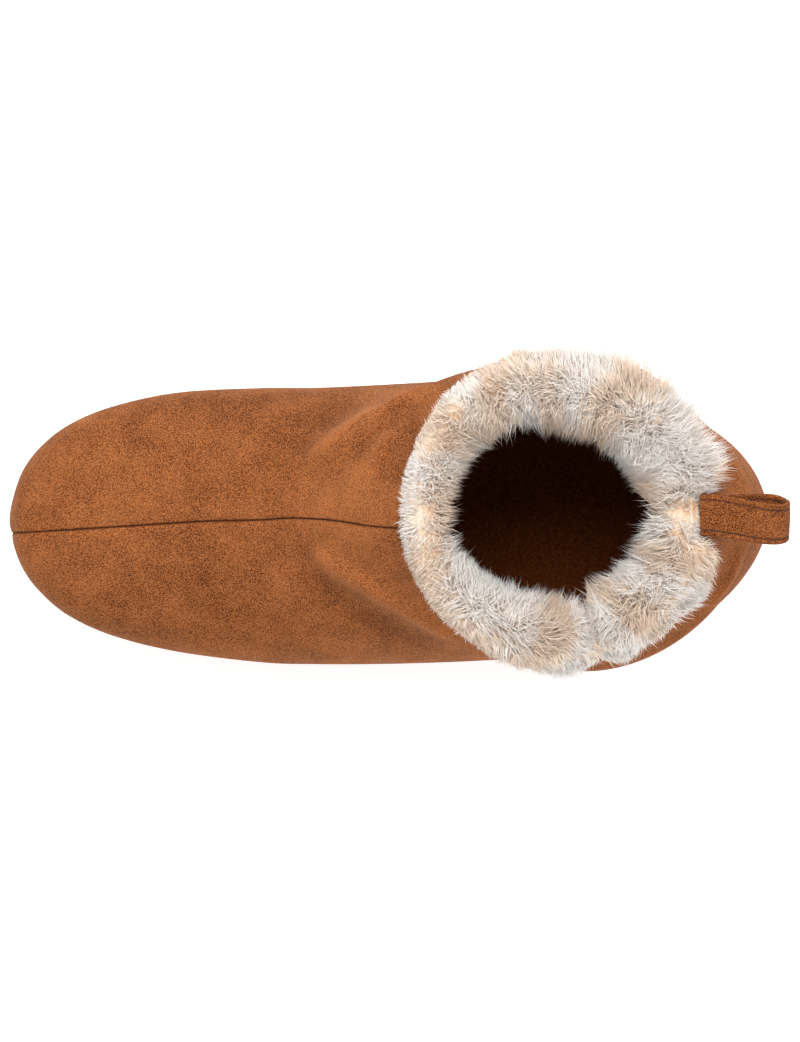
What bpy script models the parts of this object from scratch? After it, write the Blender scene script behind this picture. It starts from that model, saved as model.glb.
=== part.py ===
"""Bootie slipper, left foot: a suede upper with a slouched shaft, a deep fur collar, a pull loop and a rubber sole.

Metres, +Z up. The toe points to -X and the inner (medial) side of the foot to +Y. The origin is on the floor
under the middle of the heel seat. In the functions, s is the distance back from the tip of the toe.
"""

import functools
import math
from collections import namedtuple

import bmesh
import bpy
import numpy as np

# Driving dimensions
LENGTH = 0.260
BALL_WIDTH = 0.095
INSTEP_RISE = 0.0565
COLLAR_WIDTH = 0.096
SHAFT_RISE = 0.097
WALL = 0.0026
HEEL_SEAT = 0.045
FIT_GAP = 0.0003

# Outsole
SOLE_THICKNESS = 0.0075
TOE_SPRING = 0.0050
TOE_SPRING_LENGTH = 0.070
HEEL_LIFT = 0.0015
HEEL_LIFT_LENGTH = 0.014
ARCH_RISE = 0.0020
ARCH_MIDDLE = 0.55
ARCH_LENGTH = 0.070
RIB_DEPTH = 0.0009
TREAD_PITCH = 0.0090
TREAD_GROOVE = 0.0020
TREAD_DEPTH = 0.0016
TREAD_MARGIN = 0.0055
FOREFOOT_REST = 0.33
FOREFOOT_TREAD = (0.13, 0.43)
HEEL_TREAD = (0.70, 0.95)

# Insole
INSOLE_THICKNESS = 0.0045
INSOLE_CLEAR = 0.0010

# Slouch of the shaft
FOLD_RISE = 0.0034
FOLD_REACH = 0.0070

# Fur collar
FUR_PILE = 0.0175
FUR_FLAP = 0.0022
FUR_RISE = 0.0075
FUR_LINING = 0.036
LINING_CLEAR = 0.0027
CLEAR_FROM = 0.25
NOTCH_STEP = 0.1 * FIT_GAP
FLAP_CLEAR = 0.0009
FRONT_PILE = 0.62
FRONT_REACH = 0.13
LOCK_LENGTH = 0.0100
LOCK_WIDTH = 0.0094
LOCK_PITCH = 0.0128
LOCK_SINK = 0.0015
LOCK_FLAT = 0.55
LOCK_KNEE = 0.45
LOCK_TAPER = 0.74
LOCK_CORNERS = 5
LOCK_LEAN = 0.6
LOCK_BEND = 0.5
LOCK_SWAY = 0.28
LOCK_VARIETY = 0.22
LOCK_AHEAD = 0.01
SWAY_TURN = 3.7
SIZE_TURN = 5.3
ROW_TURN = 2.1

# Pull loop
LOOP_WIDTH = 0.013
LOOP_THICKNESS = 0.0016
LOOP_REACH = 0.0260
LOOP_HEIGHT = 0.0125
LOOP_ROLL = math.radians(12)
LOOP_NOTCH = 0.0015
NOTCH_SLOPE = 0.0060

# Facets: the solids' own, then the finer ones that the outlines and columns are measured on
AROUND = 40
FOOT_RINGS = 11
SHAFT_RINGS = 26
OUTLINE_STATIONS = 26
CAP_SHARES = (0.2, 0.5, 0.8)
LOOP_STEPS = 28
FINE_AROUND = 120
FINE_FOOT_RINGS = 80
FINE_SHAFT_RINGS = 110
FINE_ANGLES = 160

# Sections of the upper, toe to instep: places are shares of LENGTH, heights over the sole are shares of
# INSTEP_RISE and widths are shares of BALL_WIDTH. Waist is where a section is widest, full how square it is.
Row = namedtuple("Row", "top_at top_up low_at low_up medial lateral swing waist_m waist_l full_top full_low")
FOOT = [
    Row(0.000, 0.22, 0.000, 0.22, 0.000, 0.000, 0.000, 0.50, 0.50, 2.0, 2.0),
    Row(0.004, 0.37, 0.004, 0.10, 0.075, 0.072, 0.000, 0.48, 0.48, 2.0, 2.1),
    Row(0.018, 0.51, 0.018, 0.00, 0.182, 0.172, 0.002, 0.46, 0.46, 2.0, 2.3),
    Row(0.042, 0.60, 0.042, -0.08, 0.270, 0.260, 0.004, 0.46, 0.46, 2.0, 2.5),
    Row(0.079, 0.67, 0.079, -0.13, 0.349, 0.343, 0.003, 0.46, 0.46, 2.1, 2.6),
    Row(0.136, 0.725, 0.136, -0.18, 0.415, 0.415, 0.000, 0.47, 0.47, 2.1, 2.6),
    Row(0.222, 0.80, 0.222, -0.21, 0.466, 0.474, -0.005, 0.50, 0.50, 2.1, 2.6),
    Row(0.333, 0.93, 0.333, -0.23, 0.482, 0.512, -0.008, 0.53, 0.53, 2.0, 2.6),
    Row(0.388, 1.06, 0.415, -0.23, 0.482, 0.518, -0.008, 0.55, 0.56, 1.95, 2.6),
]
# Sections from instep to collar, fanned round the heel: heights are shares of SHAFT_RISE, widths of COLLAR_WIDTH.
SHAFT = [
    Row(0.426, 0.711, 0.530, -0.134, 0.486, 0.512, -0.003, 0.58, 0.60, 1.9, 2.6),
    Row(0.459, 0.804, 0.660, -0.134, 0.498, 0.504, 0.005, 0.58, 0.60, 1.9, 2.6),
    Row(0.486, 0.887, 0.800, -0.134, 0.508, 0.490, 0.015, 0.53, 0.56, 1.9, 2.5),
    Row(0.506, 0.943, 0.925, -0.090, 0.518, 0.480, 0.022, 0.48, 0.51, 2.0, 2.1),
    Row(0.517, 0.974, 0.985, 0.070, 0.528, 0.480, 0.020, 0.44, 0.47, 2.0, 1.87),
    Row(0.524, 0.990, 0.999, 0.310, 0.545, 0.486, 0.018, 0.42, 0.46, 2.0, 1.78),
    Row(0.528, 1.000, 0.970, 0.580, 0.566, 0.492, 0.018, 0.41, 0.47, 2.0, 1.80),
    Row(0.5315, 1.010, 0.938, 0.815, 0.556, 0.485, 0.020, 0.40, 0.48, 2.0, 1.85),
    Row(0.534, 1.022, 0.898, 1.028, 0.522, 0.462, 0.020, 0.40, 0.48, 2.0, 1.95),
]

# The roll of leather where the shaft slouches on the foot: around is the share of the way round, from the front
# by the medial side; depth below the collar is a share of SHAFT_RISE and rise a share of FOLD_RISE.
Fold = namedtuple("Fold", "around depth rise")
SLOUCH = [
    Fold(0.00, 0.50, 0.30),
    Fold(0.06, 0.58, 0.70),
    Fold(0.12, 0.60, 0.95),
    Fold(0.18, 0.50, 1.10),
    Fold(0.25, 0.40, 1.10),
    Fold(0.36, 0.35, 0.90),
    Fold(0.50, 0.36, 0.80),
    Fold(0.64, 0.36, 0.90),
    Fold(0.75, 0.38, 1.00),
    Fold(0.84, 0.42, 1.00),
    Fold(0.90, 0.40, 0.90),
    Fold(0.95, 0.44, 0.70),
    Fold(1.00, 0.50, 0.30),
]
TROUGH_PLACE = 1.5
TROUGH_DEPTH = 1.1
FOLD_FROM = 6
FOLD_RINGS = (0.56, 0.64, 0.72, 0.80, 1)

# Side of the outsole from the tread up: height is a share of its thickness, out is counted in RIB_DEPTH.
Edge = namedtuple("Edge", "height out")
SOLE_EDGE = [
    Edge(0.00, -1.6),
    Edge(0.20, 0.0),
    Edge(0.42, 0.0),
    Edge(0.48, -1.0),
    Edge(0.56, -1.0),
    Edge(0.62, 0.0),
    Edge(0.86, 0.0),
    Edge(1.00, -0.8),
]

# The fur outside the wall, as shares of FUR_FLAP outwards, of FUR_LINING down and of FUR_RISE up, and where the
# pull loop presses each point in over the rim, as shares of the pile and of FUR_RISE.
Flap = namedtuple("Flap", "out down up loop_in loop_up")
FUR_OUTSIDE = [
    Flap(0.00, 0.00, 0.00, 0.00, 0.04),
    Flap(0.00, 0.08, 0.00, 0.00, 0.14),
    Flap(0.55, 0.10, 0.00, 0.02, 0.26),
    Flap(1.00, 0.05, 0.00, 0.05, 0.40),
    Flap(1.05, 0.00, 0.25, 0.10, 0.54),
    Flap(0.60, 0.00, 0.78, 0.17, 0.70),
    Flap(0.00, 0.00, 1.00, 0.26, 0.84),
]
# The fur inside it, as shares of the pile inwards, of FUR_RISE up and of FUR_LINING down.
Pile = namedtuple("Pile", "inward up down")
FUR_INSIDE = [
    Pile(0.34, 1.00, 0.00),
    Pile(0.74, 0.62, 0.00),
    Pile(1.00, 0.00, 0.04),
    Pile(0.98, 0.00, 0.22),
    Pile(0.70, 0.00, 0.48),
    Pile(0.36, 0.00, 0.75),
    Pile(0.13, 0.00, 1.00),
    Pile(0.00, 0.00, 0.96),
    Pile(0.00, 0.00, 0.55),
    Pile(0.00, 0.00, 0.20),
    Pile(0.00, 0.00, 0.00),
]

# Rows of fur locks: along is the place on the section between two of its points, counted from the flap's root,
# lean turns a lock from straight up off the fur (0) to lying along it, down the outside (-1) or the inside (1).
Locks = namedtuple("Locks", "along lean size start")
LOCK_ROWS = [
    Locks(3.3, -0.80, 0.46, 0.00),
    Locks(5.0, -0.60, 0.66, 0.50),
    Locks(6.6, 0.35, 1.00, 0.25),
    Locks(8.6, 0.75, 0.90, 0.75),
]

# The loop's band from the collar's rim out and back, as shares of LOOP_REACH and of LOOP_HEIGHT.
Band = namedtuple("Band", "back up")
LOOP_BAND = [
    Band(-0.100, 0.10),
    Band(0.11, 0.24),
    Band(0.50, 0.34),
    Band(0.86, 0.20),
    Band(0.985, -0.18),
    Band(0.84, -0.58),
    Band(0.52, -0.64),
    Band(0.27, -0.55),
    Band(0.155, -0.42),
    Band(0.115, -0.27),
]


def sole_top(s):
    return SOLE_THICKNESS + TOE_SPRING * np.clip(1 - s / TOE_SPRING_LENGTH, 0, 1) ** 2


def sole_bottom(s):
    toe = TOE_SPRING * np.clip(1 - s / TOE_SPRING_LENGTH, 0, 1) ** 2
    heel = HEEL_LIFT * np.clip((s - LENGTH + HEEL_LIFT_LENGTH) / HEEL_LIFT_LENGTH, 0, 1) ** 2
    arch = ARCH_RISE * np.clip(1 - ((s - ARCH_MIDDLE * LENGTH) * 2 / ARCH_LENGTH) ** 2, 0, 1)
    return toe + heel + arch


def ease(x):
    x = np.clip(x, 0, 1)
    return x * x * (3 - 2 * x)


def cubic(rows, place):
    """A smooth curve through the rows, whose first and last only steer its ends; place counts rows."""
    k = np.clip(np.asarray(place).astype(int), 0, len(rows) - 4)
    t = (place - k)[:, None]
    a, b, c, d = (rows[k + i] for i in range(4))
    return b + 0.5 * t * (c - a + t * (2 * a - 5 * b + 4 * c - d + t * (3 * (b - c) + d - a)))


def section_rows():
    """Each section in metres: top place and height, low place and height, widths, swing, then the plain shares."""
    rows = []
    for table, rise, width in ((FOOT, INSTEP_RISE, BALL_WIDTH), (SHAFT, SHAFT_RISE, COLLAR_WIDTH)):
        for row in table:
            top = row.top_at * LENGTH
            low = row.low_at * LENGTH
            heights = (top, sole_top(top) + row.top_up * rise, low, sole_top(low) + row.low_up * rise)
            widths = (row.medial * width, row.lateral * width, row.swing * width)
            rows.append(heights + widths + row[7:])
    rows = np.array(rows)
    before = rows[1] * [1, 0, 1, 0, -1, -1, 1, 1, 1, 1, 1]
    before[[1, 3]] = rows[1][[3, 1]]
    return np.vstack([before, rows, 2 * rows[-1] - rows[-2]])


def half_section(row, side, count):
    """Points evenly round one half of a section, from its top to its lowest point."""
    top, top_z, low, low_z, medial, lateral, swing, waist_m, waist_l, full_top, full_low = row
    reach, waist = (medial - swing, waist_m) if side > 0 else (lateral + swing, waist_l)
    angle = np.linspace(0, math.pi, FINE_ANGLES)
    power = 2 / np.where(angle < math.pi / 2, full_top, full_low)
    sine = np.sin(angle).clip(0) ** power
    cosine = np.abs(np.cos(angle)) ** power
    along = np.where(angle < math.pi / 2, waist * (1 - cosine), waist + (1 - waist) * cosine)
    points = np.stack([top + along * (low - top), swing + side * reach * sine, top_z + along * (low_z - top_z)], 1)
    run = np.append(0, np.cumsum(np.linalg.norm(np.diff(points, axis=0), axis=1)))
    wanted = np.linspace(0, run[-1], count + 1)
    return np.stack([np.interp(wanted, run, axis) for axis in points.T], 1)


def outward(grid):
    """Unit normals of a grid of rings, pointing out of the shoe."""
    around = np.roll(grid, -1, 1) - np.roll(grid, 1, 1)
    normal = np.cross(np.gradient(grid, axis=0), around)
    normal[0] = (-1, 0, 0)
    return normal / np.linalg.norm(normal, axis=2, keepdims=True)


def depths(grid):
    """How far each point lies below the collar, along its own column."""
    steps = np.linalg.norm(np.diff(grid, axis=0), axis=2)
    below = np.zeros(grid.shape[:2])
    below[:-1] = np.cumsum(steps[::-1], axis=0)[::-1]
    return below


def base_rings(places, around):
    """The smooth form without folds, the places counting sections from the toe to the collar."""
    grid = np.empty((len(places), around, 3))
    half = around // 2
    for ring, row in zip(grid, cubic(section_rows(), np.asarray(places, float))):
        ring[:half + 1] = half_section(row, 1, half)
        ring[half:] = half_section(row, -1, half)[:0:-1]
    return grid


@functools.cache
def skin(foot_rings, shaft_rings, around):
    """Outer face of the upper as rings of points from the toe to the collar, the shaft's following the slouch."""
    places = np.linspace(FOLD_FROM, len(FOOT) + len(SHAFT) - 1, FINE_SHAFT_RINGS)
    dense = base_rings(places, around)
    below = depths(dense)
    share = np.arange(around) / around
    ridge = np.interp(share, [f.around for f in SLOUCH], [f.depth for f in SLOUCH]) * SHAFT_RISE
    rise = np.interp(share, [f.around for f in SLOUCH], [f.rise for f in SLOUCH]) * FOLD_RISE
    trough = TROUGH_PLACE * FOLD_REACH
    at = np.linspace(0, 1, shaft_rings)
    depth = np.empty((shaft_rings, around))
    shaft = np.empty((shaft_rings, around, 3))
    for k in range(around):
        column = below[:, k]
        marks = ridge[k] + np.array([2 * trough, trough, 0, -trough, -ridge[k]])
        end = np.interp(marks[0], column[::-1], places[::-1])
        low = np.interp(FOLD_FROM + (end - FOLD_FROM) * at / FOLD_RINGS[0], places, column)
        depth[:, k] = np.where(at < FOLD_RINGS[0], low, np.interp(at, FOLD_RINGS, marks))
        for axis in range(3):
            shaft[:, k, axis] = np.interp(depth[:, k], column[::-1], dense[::-1, k, axis])
    foot = base_rings(np.linspace(0, FOLD_FROM, foot_rings, endpoint=False), around)
    grid = np.vstack([foot, shaft])
    depth = (np.vstack([depths(foot) + depth[0] + FOLD_REACH, depth]) - ridge) / FOLD_REACH
    fold = np.exp(-depth ** 2) - TROUGH_DEPTH * np.exp(-(depth - TROUGH_PLACE) ** 2)
    return grid + (rise * fold)[..., None] * outward(grid)


def outline(level, inset, stations):
    """Where the upper, a given inset inside its skin, meets a level surface: s, medial y and lateral y."""
    grid = skin(FINE_FOOT_RINGS, FINE_SHAFT_RINGS, FINE_AROUND)
    grid = grid - inset * outward(grid)
    above = grid[..., 2] - level(grid[..., 0])
    bottom = FINE_AROUND // 2
    sides = []
    for columns in (np.arange(bottom + 1), -np.arange(bottom + 1)):
        crossings = []
        for ring, height in zip(grid[:, columns], above[:, columns]):
            under = np.nonzero((height[:-1] >= 0) & (height[1:] < 0))[0]
            if len(under):
                k = under[-1]
                share = height[k] / (height[k] - height[k + 1])
                crossings.append(ring[k] + share * (ring[k + 1] - ring[k]))
        sides.append(np.array(crossings))
    low = above[:, bottom]
    ends = []
    for k in np.nonzero((low[:-1] >= 0) != (low[1:] >= 0))[0][[0, -1]]:
        share = low[k] / (low[k] - low[k + 1])
        ends.append(grid[k, bottom] + share * (grid[k + 1, bottom] - grid[k, bottom]))
    s = ends[0][0] + (ends[1][0] - ends[0][0]) * (1 - np.cos(np.linspace(0, math.pi, stations + 1))) / 2
    widths = []
    for side in sides:
        path = np.vstack([ends[0], side, ends[1]])
        path = path[np.argsort(path[:, 0], kind="stable")]
        widths.append(np.interp(s, path[:, 0], path[:, 1]))
    widths[1][[0, -1]] = widths[0][[0, -1]]
    return s, widths[0], widths[1]


def shifted_outline(s, medial, lateral, out):
    """The closed outline moved out along its own normals: the toe, the medial side, the heel, the lateral side."""
    path = np.stack([np.append(s, s[-2:0:-1]), np.append(medial, lateral[-2:0:-1])], 1)
    along = np.roll(path, -1, 0) - np.roll(path, 1, 0)
    normal = np.stack([-along[:, 1], along[:, 0]], 1)
    return path + out * normal / np.linalg.norm(normal, axis=1, keepdims=True)


def place(points):
    """From distances behind the toe to the shoe's own frame."""
    return np.asarray(points) - (LENGTH - HEEL_SEAT, 0, 0)


def principled(name, colour, roughness):
    """A plain material; the colour is given as it looks, in sRGB."""
    material = bpy.data.materials.new(name)
    material.use_nodes = True
    shader = material.node_tree.nodes["Principled BSDF"]
    linear = [(c / 12.92) if c < 0.04045 else ((c + 0.055) / 1.055) ** 2.4 for c in colour]
    shader.inputs["Base Color"].default_value = (*linear, 1)
    shader.inputs["Roughness"].default_value = roughness
    return material


def new_object(name, bm, collection, material=None):
    bmesh.ops.recalc_face_normals(bm, faces=bm.faces)
    mesh = bpy.data.meshes.new(name)
    bm.to_mesh(mesh)
    bm.free()
    obj = bpy.data.objects.new(name, mesh)
    collection.objects.link(obj)
    if material:
        mesh.materials.append(material)
        mesh.shade_smooth()
        mesh.set_sharp_from_angle(angle=math.radians(50))
    else:
        obj.hide_render = True
        obj.display_type = "WIRE"
    return obj


def add_rings(bm, rings):
    return [[bm.verts.new(point) for point in ring] for ring in rings]


def bridge(bm, rows, wrapped=True):
    """Quads between each row of vertices and the next."""
    for low, high in zip(rows, rows[1:]):
        count = len(low)
        for k in range(count if wrapped else count - 1):
            bm.faces.new((low[k], low[(k + 1) % count], high[(k + 1) % count], high[k]))


def cut_or_join(obj, other, operation):
    boolean = obj.modifiers.new(other.name, "BOOLEAN")
    boolean.object = other
    boolean.operation = operation


def make_upper(collection, cutters, suede):
    """One hollow wall, closed at the toe, open at the collar and cut open along the top of the sole."""
    rings = place(skin(FOOT_RINGS, SHAFT_RINGS, AROUND))
    bm = bmesh.new()
    tip = bm.verts.new(rings[0, 0])
    rows = add_rings(bm, rings[1:])
    for k in range(AROUND):
        bm.faces.new((tip, rows[0][k], rows[0][(k + 1) % AROUND]))
    bridge(bm, rows)
    upper = new_object("upper", bm, collection, suede)
    wall = upper.modifiers.new("wall", "SOLIDIFY")
    wall.thickness = WALL
    wall.offset = -1
    wall.use_even_offset = True

    s = np.linspace(-0.1, 1.1, 41) * LENGTH
    top = sole_top(s) + FIT_GAP
    profile = np.append(np.stack([s, top], 1), [(s[-1], -0.2 * LENGTH), (s[0], -0.2 * LENGTH)], 0)
    bm = bmesh.new()
    sides = add_rings(bm, [place([(x, y, z) for x, z in profile]) for y in (-BALL_WIDTH, BALL_WIDTH)])
    bridge(bm, sides)
    for side in sides:
        bm.faces.new(side)
    cut_or_join(upper, new_object("under_upper", bm, cutters), "DIFFERENCE")


def make_outsole(collection, cutters, rubber):
    """A moulded rubber unit with the upper's own outline, ribs along its side and a bar tread."""
    s, medial, lateral = outline(sole_top, 0, OUTLINE_STATIONS)
    rings = []
    for edge in SOLE_EDGE:
        path = shifted_outline(s, medial, lateral, edge.out * RIB_DEPTH)
        low, high = sole_bottom(path[:, 0]), sole_top(path[:, 0])
        rings.append(place(np.column_stack([path, low + edge.height * (high - low)])))
    bm = bmesh.new()
    rows = add_rings(bm, rings)
    bridge(bm, rows)
    for row, level in ((rows[0], sole_bottom), (rows[-1], sole_top)):
        cap = []
        for k in range(1, OUTLINE_STATIONS):
            first, last = np.array(row[k].co), np.array(row[-k].co)
            across = [row[k]]
            for share in CAP_SHARES:
                point = first + share * (last - first)
                point[2] = level(point[0] + LENGTH - HEEL_SEAT)
                across.append(bm.verts.new(point))
            cap.append(across + [row[-k]])
        bridge(bm, cap, wrapped=False)
        for tip, across in ((row[0], cap[0]), (row[OUTLINE_STATIONS], cap[-1])):
            for a, b in zip(across, across[1:]):
                bm.faces.new((tip, a, b))
    outsole = new_object("outsole", bm, collection, rubber)

    bm = bmesh.new()
    for rest, (first, last) in ((FOREFOOT_REST * LENGTH, FOREFOOT_TREAD), (LENGTH - HEEL_SEAT, HEEL_TREAD)):
        start = rest - TREAD_PITCH / 2
        start += TREAD_PITCH * math.ceil((first * LENGTH - start) / TREAD_PITCH)
        for at in np.arange(start, last * LENGTH, TREAD_PITCH):
            left = np.interp(at, s, medial) - TREAD_MARGIN
            right = np.interp(at, s, lateral) + TREAD_MARGIN
            top = sole_bottom(at) + TREAD_DEPTH
            groove = bmesh.ops.create_cube(bm, size=1)["verts"]
            bmesh.ops.scale(bm, verts=groove, vec=(TREAD_GROOVE, left - right, 2 * SOLE_THICKNESS))
            bmesh.ops.translate(bm, verts=groove, vec=place((at, (left + right) / 2, top - SOLE_THICKNESS)))
    cut_or_join(outsole, new_object("tread", bm, cutters), "DIFFERENCE")


def make_insole(collection, plush):
    """A soft footbed that fills the inside of the wall, resting just over the sole."""
    levels = (FIT_GAP, FIT_GAP + 0.5 * INSOLE_THICKNESS, FIT_GAP + INSOLE_THICKNESS)
    bm = bmesh.new()
    rows = []
    for lift in levels:
        s, medial, lateral = outline(lambda at, lift=lift: sole_top(at) + lift, WALL + INSOLE_CLEAR, OUTLINE_STATIONS)
        path = shifted_outline(s, medial, lateral, 0)
        rows += add_rings(bm, [place(np.column_stack([path, sole_top(path[:, 0]) + lift]))])
    bridge(bm, rows)
    for row in (rows[0], rows[-1]):
        cap = [[row[k], row[-k]] for k in range(1, OUTLINE_STATIONS)]
        bridge(bm, cap, wrapped=False)
        bm.faces.new((row[0], row[1], row[-1]))
        bm.faces.new((row[OUTLINE_STATIONS], row[OUTLINE_STATIONS - 1], row[OUTLINE_STATIONS + 1]))
    new_object("insole", bm, collection, plush)


def collar_frame(shares):
    """Columns of the upper's wall below the collar at any share of the way round, with their normals and depths."""
    grid = skin(FOOT_RINGS, SHAFT_RINGS, AROUND)
    normal = outward(grid)
    at = np.asarray(shares) * AROUND
    low = at.astype(int) % AROUND
    mix = (at % 1)[None, :, None]
    grid, normal = (
        columns[FOOT_RINGS:, low] * (1 - mix) + columns[FOOT_RINGS:, (low + 1) % AROUND] * mix
        for columns in (grid, normal)
    )
    return grid[::-1], normal[::-1], depths(grid)[::-1]


def on_collar(frame, column, out, depth, inward=0):
    """The point at a distance out of the skin and below the rim, then a way inwards to the middle of the collar.

    Above the rim the wall's own line is carried on.
    """
    grid, normal, below = (part[:, column] for part in frame)
    at = max(depth, 0)
    point = np.array([np.interp(at, below, axis) for axis in grid.T])
    direction = np.array([np.interp(at, below, axis) for axis in normal.T])
    up = np.cross(direction, np.cross((0, 0, 1), direction))
    point += out * direction + max(-depth, 0) * up / np.linalg.norm(up)
    if not inward:
        return point
    centre = (frame[0][0].mean(axis=0) - point) * (1, 1, 0)
    return point + inward * centre / np.linalg.norm(centre)


def fur_shares():
    """Where the fur's sections stand round the collar, closer together at the notch for the loop."""
    rim = collar_frame(np.arange(AROUND) / AROUND)[0][0]
    girth = np.linalg.norm(rim - np.roll(rim, 1, 0), axis=1).sum()
    notch = LOOP_WIDTH / 2 + LOOP_NOTCH + NOTCH_SLOPE * np.array([0, 0.25, 0.5, 0.75, 1])
    near = np.concatenate([0.5 - notch / girth, [0.5], 0.5 + notch / girth])
    even = np.arange(AROUND) / AROUND
    apart = np.abs(even - 0.5) * girth > notch[-1]
    return np.sort(np.append(even[apart], near)), girth


def fur_section(frame, column, share, girth):
    """One closed section of the fur, from the rim down the outside, over the top and down the inside."""
    pile = FUR_PILE * (1 - (1 - FRONT_PILE) * math.exp(-(min(share, 1 - share) / FRONT_REACH) ** 2))
    pressed = 1 - (abs(share - 0.5) * girth - LOOP_WIDTH / 2 - LOOP_NOTCH) / NOTCH_SLOPE
    lifted, folded = ease(2 * pressed), ease(2 * pressed - 1)
    points = []
    for k, flap in enumerate(FUR_OUTSIDE):
        over = FIT_GAP + k * NOTCH_STEP
        out = FIT_GAP + FLAP_CLEAR + flap.out * FUR_FLAP
        depth = flap.down * FUR_LINING - flap.up * FUR_RISE
        depth = depth + lifted * (-over - flap.up * FUR_RISE - depth) if flap.down else min(depth, -FIT_GAP)
        out += folded * (-WALL - FIT_GAP - out)
        depth += folded * (-over - flap.loop_up * FUR_RISE - depth)
        points.append(on_collar(frame, column, out, depth, folded * flap.loop_in * pile))
    for inside in FUR_INSIDE:
        clear = FIT_GAP + LINING_CLEAR * min(1, inside.down / CLEAR_FROM)
        depth = inside.down * FUR_LINING - inside.up * FUR_RISE
        depth = depth if inside.down or inside.up else min(depth, -FIT_GAP) if not inside.inward else depth
        points.append(on_collar(frame, column, -WALL - clear, depth, inside.inward * pile))
    return np.array(points)


def unit(vector):
    return vector / np.linalg.norm(vector)


def add_lock(bm, surface, off, forward, size, lean, sway):
    """A flat tapered lock of fur with a bend at its knee, its root sunk under the surface."""
    forward = unit(forward)
    off = unit(off - off.dot(forward) * forward)
    down = np.cross(forward, off)
    down *= -1 if down[2] > 0 else 1
    aim = unit(off * (1 - abs(lean) * LOCK_LEAN) + down * abs(lean) + forward * sway)
    bend = unit(aim * (1 - LOCK_KNEE) + down * LOCK_BEND + forward * sway)
    side = unit(np.cross(aim, down))
    lift = np.cross(side, aim)
    root = surface - LOCK_SINK * off
    knee = root + aim * (LOCK_SINK + LOCK_KNEE * size * LOCK_LENGTH)
    tip = knee + bend * (1 - LOCK_KNEE) * size * LOCK_LENGTH
    rings = []
    for point, wide in ((root, size * LOCK_WIDTH / 2), (knee, LOCK_TAPER * size * LOCK_WIDTH / 2)):
        turns = [2 * math.pi * corner / LOCK_CORNERS for corner in range(LOCK_CORNERS)]
        rings.append([place(point + wide * (math.cos(a) * side + LOCK_FLAT * math.sin(a) * lift)) for a in turns])
    rows = add_rings(bm, rings)
    bridge(bm, rows)
    bm.faces.new(rows[0])
    top = bm.verts.new(place(tip))
    for a, b in zip(rows[1], rows[1][1:] + rows[1][:1]):
        bm.faces.new((top, a, b))


def make_fur(collection, cutters, fur):
    """A ring of deep pile that hooks over the collar, pressed in at the back by the loop, with locks all round."""
    shares, girth = fur_shares()
    frame = collar_frame(shares)
    sections = np.array([fur_section(frame, k, share, girth) for k, share in enumerate(shares)])
    bm = bmesh.new()
    rows = add_rings(bm, place(sections))
    bridge(bm, rows + rows[:1])
    collar = new_object("fur_collar", bm, collection, fur)

    middle = sections.mean(axis=1)
    for number, row in enumerate(LOCK_ROWS):
        bm = bmesh.new()
        low, mix = int(row.along), row.along % 1
        path = sections[:, low] * (1 - mix) + sections[:, low + 1] * mix
        count = round(np.linalg.norm(path - np.roll(path, 1, 0), axis=1).sum() / LOCK_PITCH)
        for k in range(count):
            share = (k + row.start) / count % 1
            beside = abs(share - 0.5) * girth - LOOP_WIDTH / 2 - NOTCH_SLOPE - LOCK_WIDTH
            if beside < 0 and row.lean < 0.5:
                continue
            root, centre, following = (
                np.array([np.interp(share + ahead, shares, axis, period=1) for axis in points.T])
                for points, ahead in ((path, 0), (middle, 0), (path, LOCK_AHEAD))
            )
            size = row.size * (1 + LOCK_VARIETY * math.sin(SIZE_TURN * k + ROW_TURN * number))
            sway = LOCK_SWAY * math.sin(SWAY_TURN * k + number)
            add_lock(bm, root, root - centre, following - root, size, row.lean, sway)
        cut_or_join(collar, new_object(f"locks_{number}", bm, cutters), "UNION")


def make_loop(collection, suede):
    """A doubled band sewn into the rim at the centre of the back, flopped over backwards."""
    frame = collar_frame([0.5])
    rim = on_collar(frame, 0, 0, 0)
    corners = np.array([(band.back * LOOP_REACH, band.up * LOOP_HEIGHT) for band in LOOP_BAND])
    corners = np.vstack([2 * corners[0] - corners[1], corners, 2 * corners[-1] - corners[-2]])
    path = cubic(corners, np.linspace(0, len(LOOP_BAND) - 1, LOOP_STEPS))
    bm = bmesh.new()
    rows = []
    for back, up in path:
        roll = LOOP_ROLL * ease(back / LOOP_REACH)
        across = [(back, y * math.cos(roll), up + y * math.sin(roll)) for y in (-LOOP_WIDTH / 2, 0, LOOP_WIDTH / 2)]
        rows += add_rings(bm, [place(rim + np.array(across))])
    bridge(bm, rows, wrapped=False)
    loop = new_object("pull_loop", bm, collection, suede)
    band = loop.modifiers.new("band", "SOLIDIFY")
    band.thickness = LOOP_THICKNESS
    band.offset = 0


def main():
    for obj in list(bpy.data.objects):
        bpy.data.objects.remove(obj, do_unlink=True)
    slipper = bpy.data.collections.new("bootie_slipper")
    cutters = bpy.data.collections.new("cutters")
    for collection in (slipper, cutters):
        bpy.context.scene.collection.children.link(collection)
    suede = principled("tan_suede", (0.63, 0.38, 0.22), 0.95)
    fur = principled("cream_fur", (0.86, 0.84, 0.82), 0.9)
    plush = principled("brown_plush", (0.22, 0.10, 0.03), 0.95)
    rubber = principled("brown_rubber", (0.36, 0.22, 0.14), 0.7)
    make_upper(slipper, cutters, suede)
    make_outsole(slipper, cutters, rubber)
    make_insole(slipper, plush)
    make_fur(slipper, cutters, fur)
    make_loop(slipper, suede)


main()
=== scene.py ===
"""Bootie slipper, left foot: suede upper, deep fur collar, pull loop, plush insole and ribbed rubber sole.

Metres, +Z up. The toe points to -X and the inner side of the foot to +Y, and the origin is on the floor under the
heel seat. In the functions, s is the distance back from the tip of the toe.
"""

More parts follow.
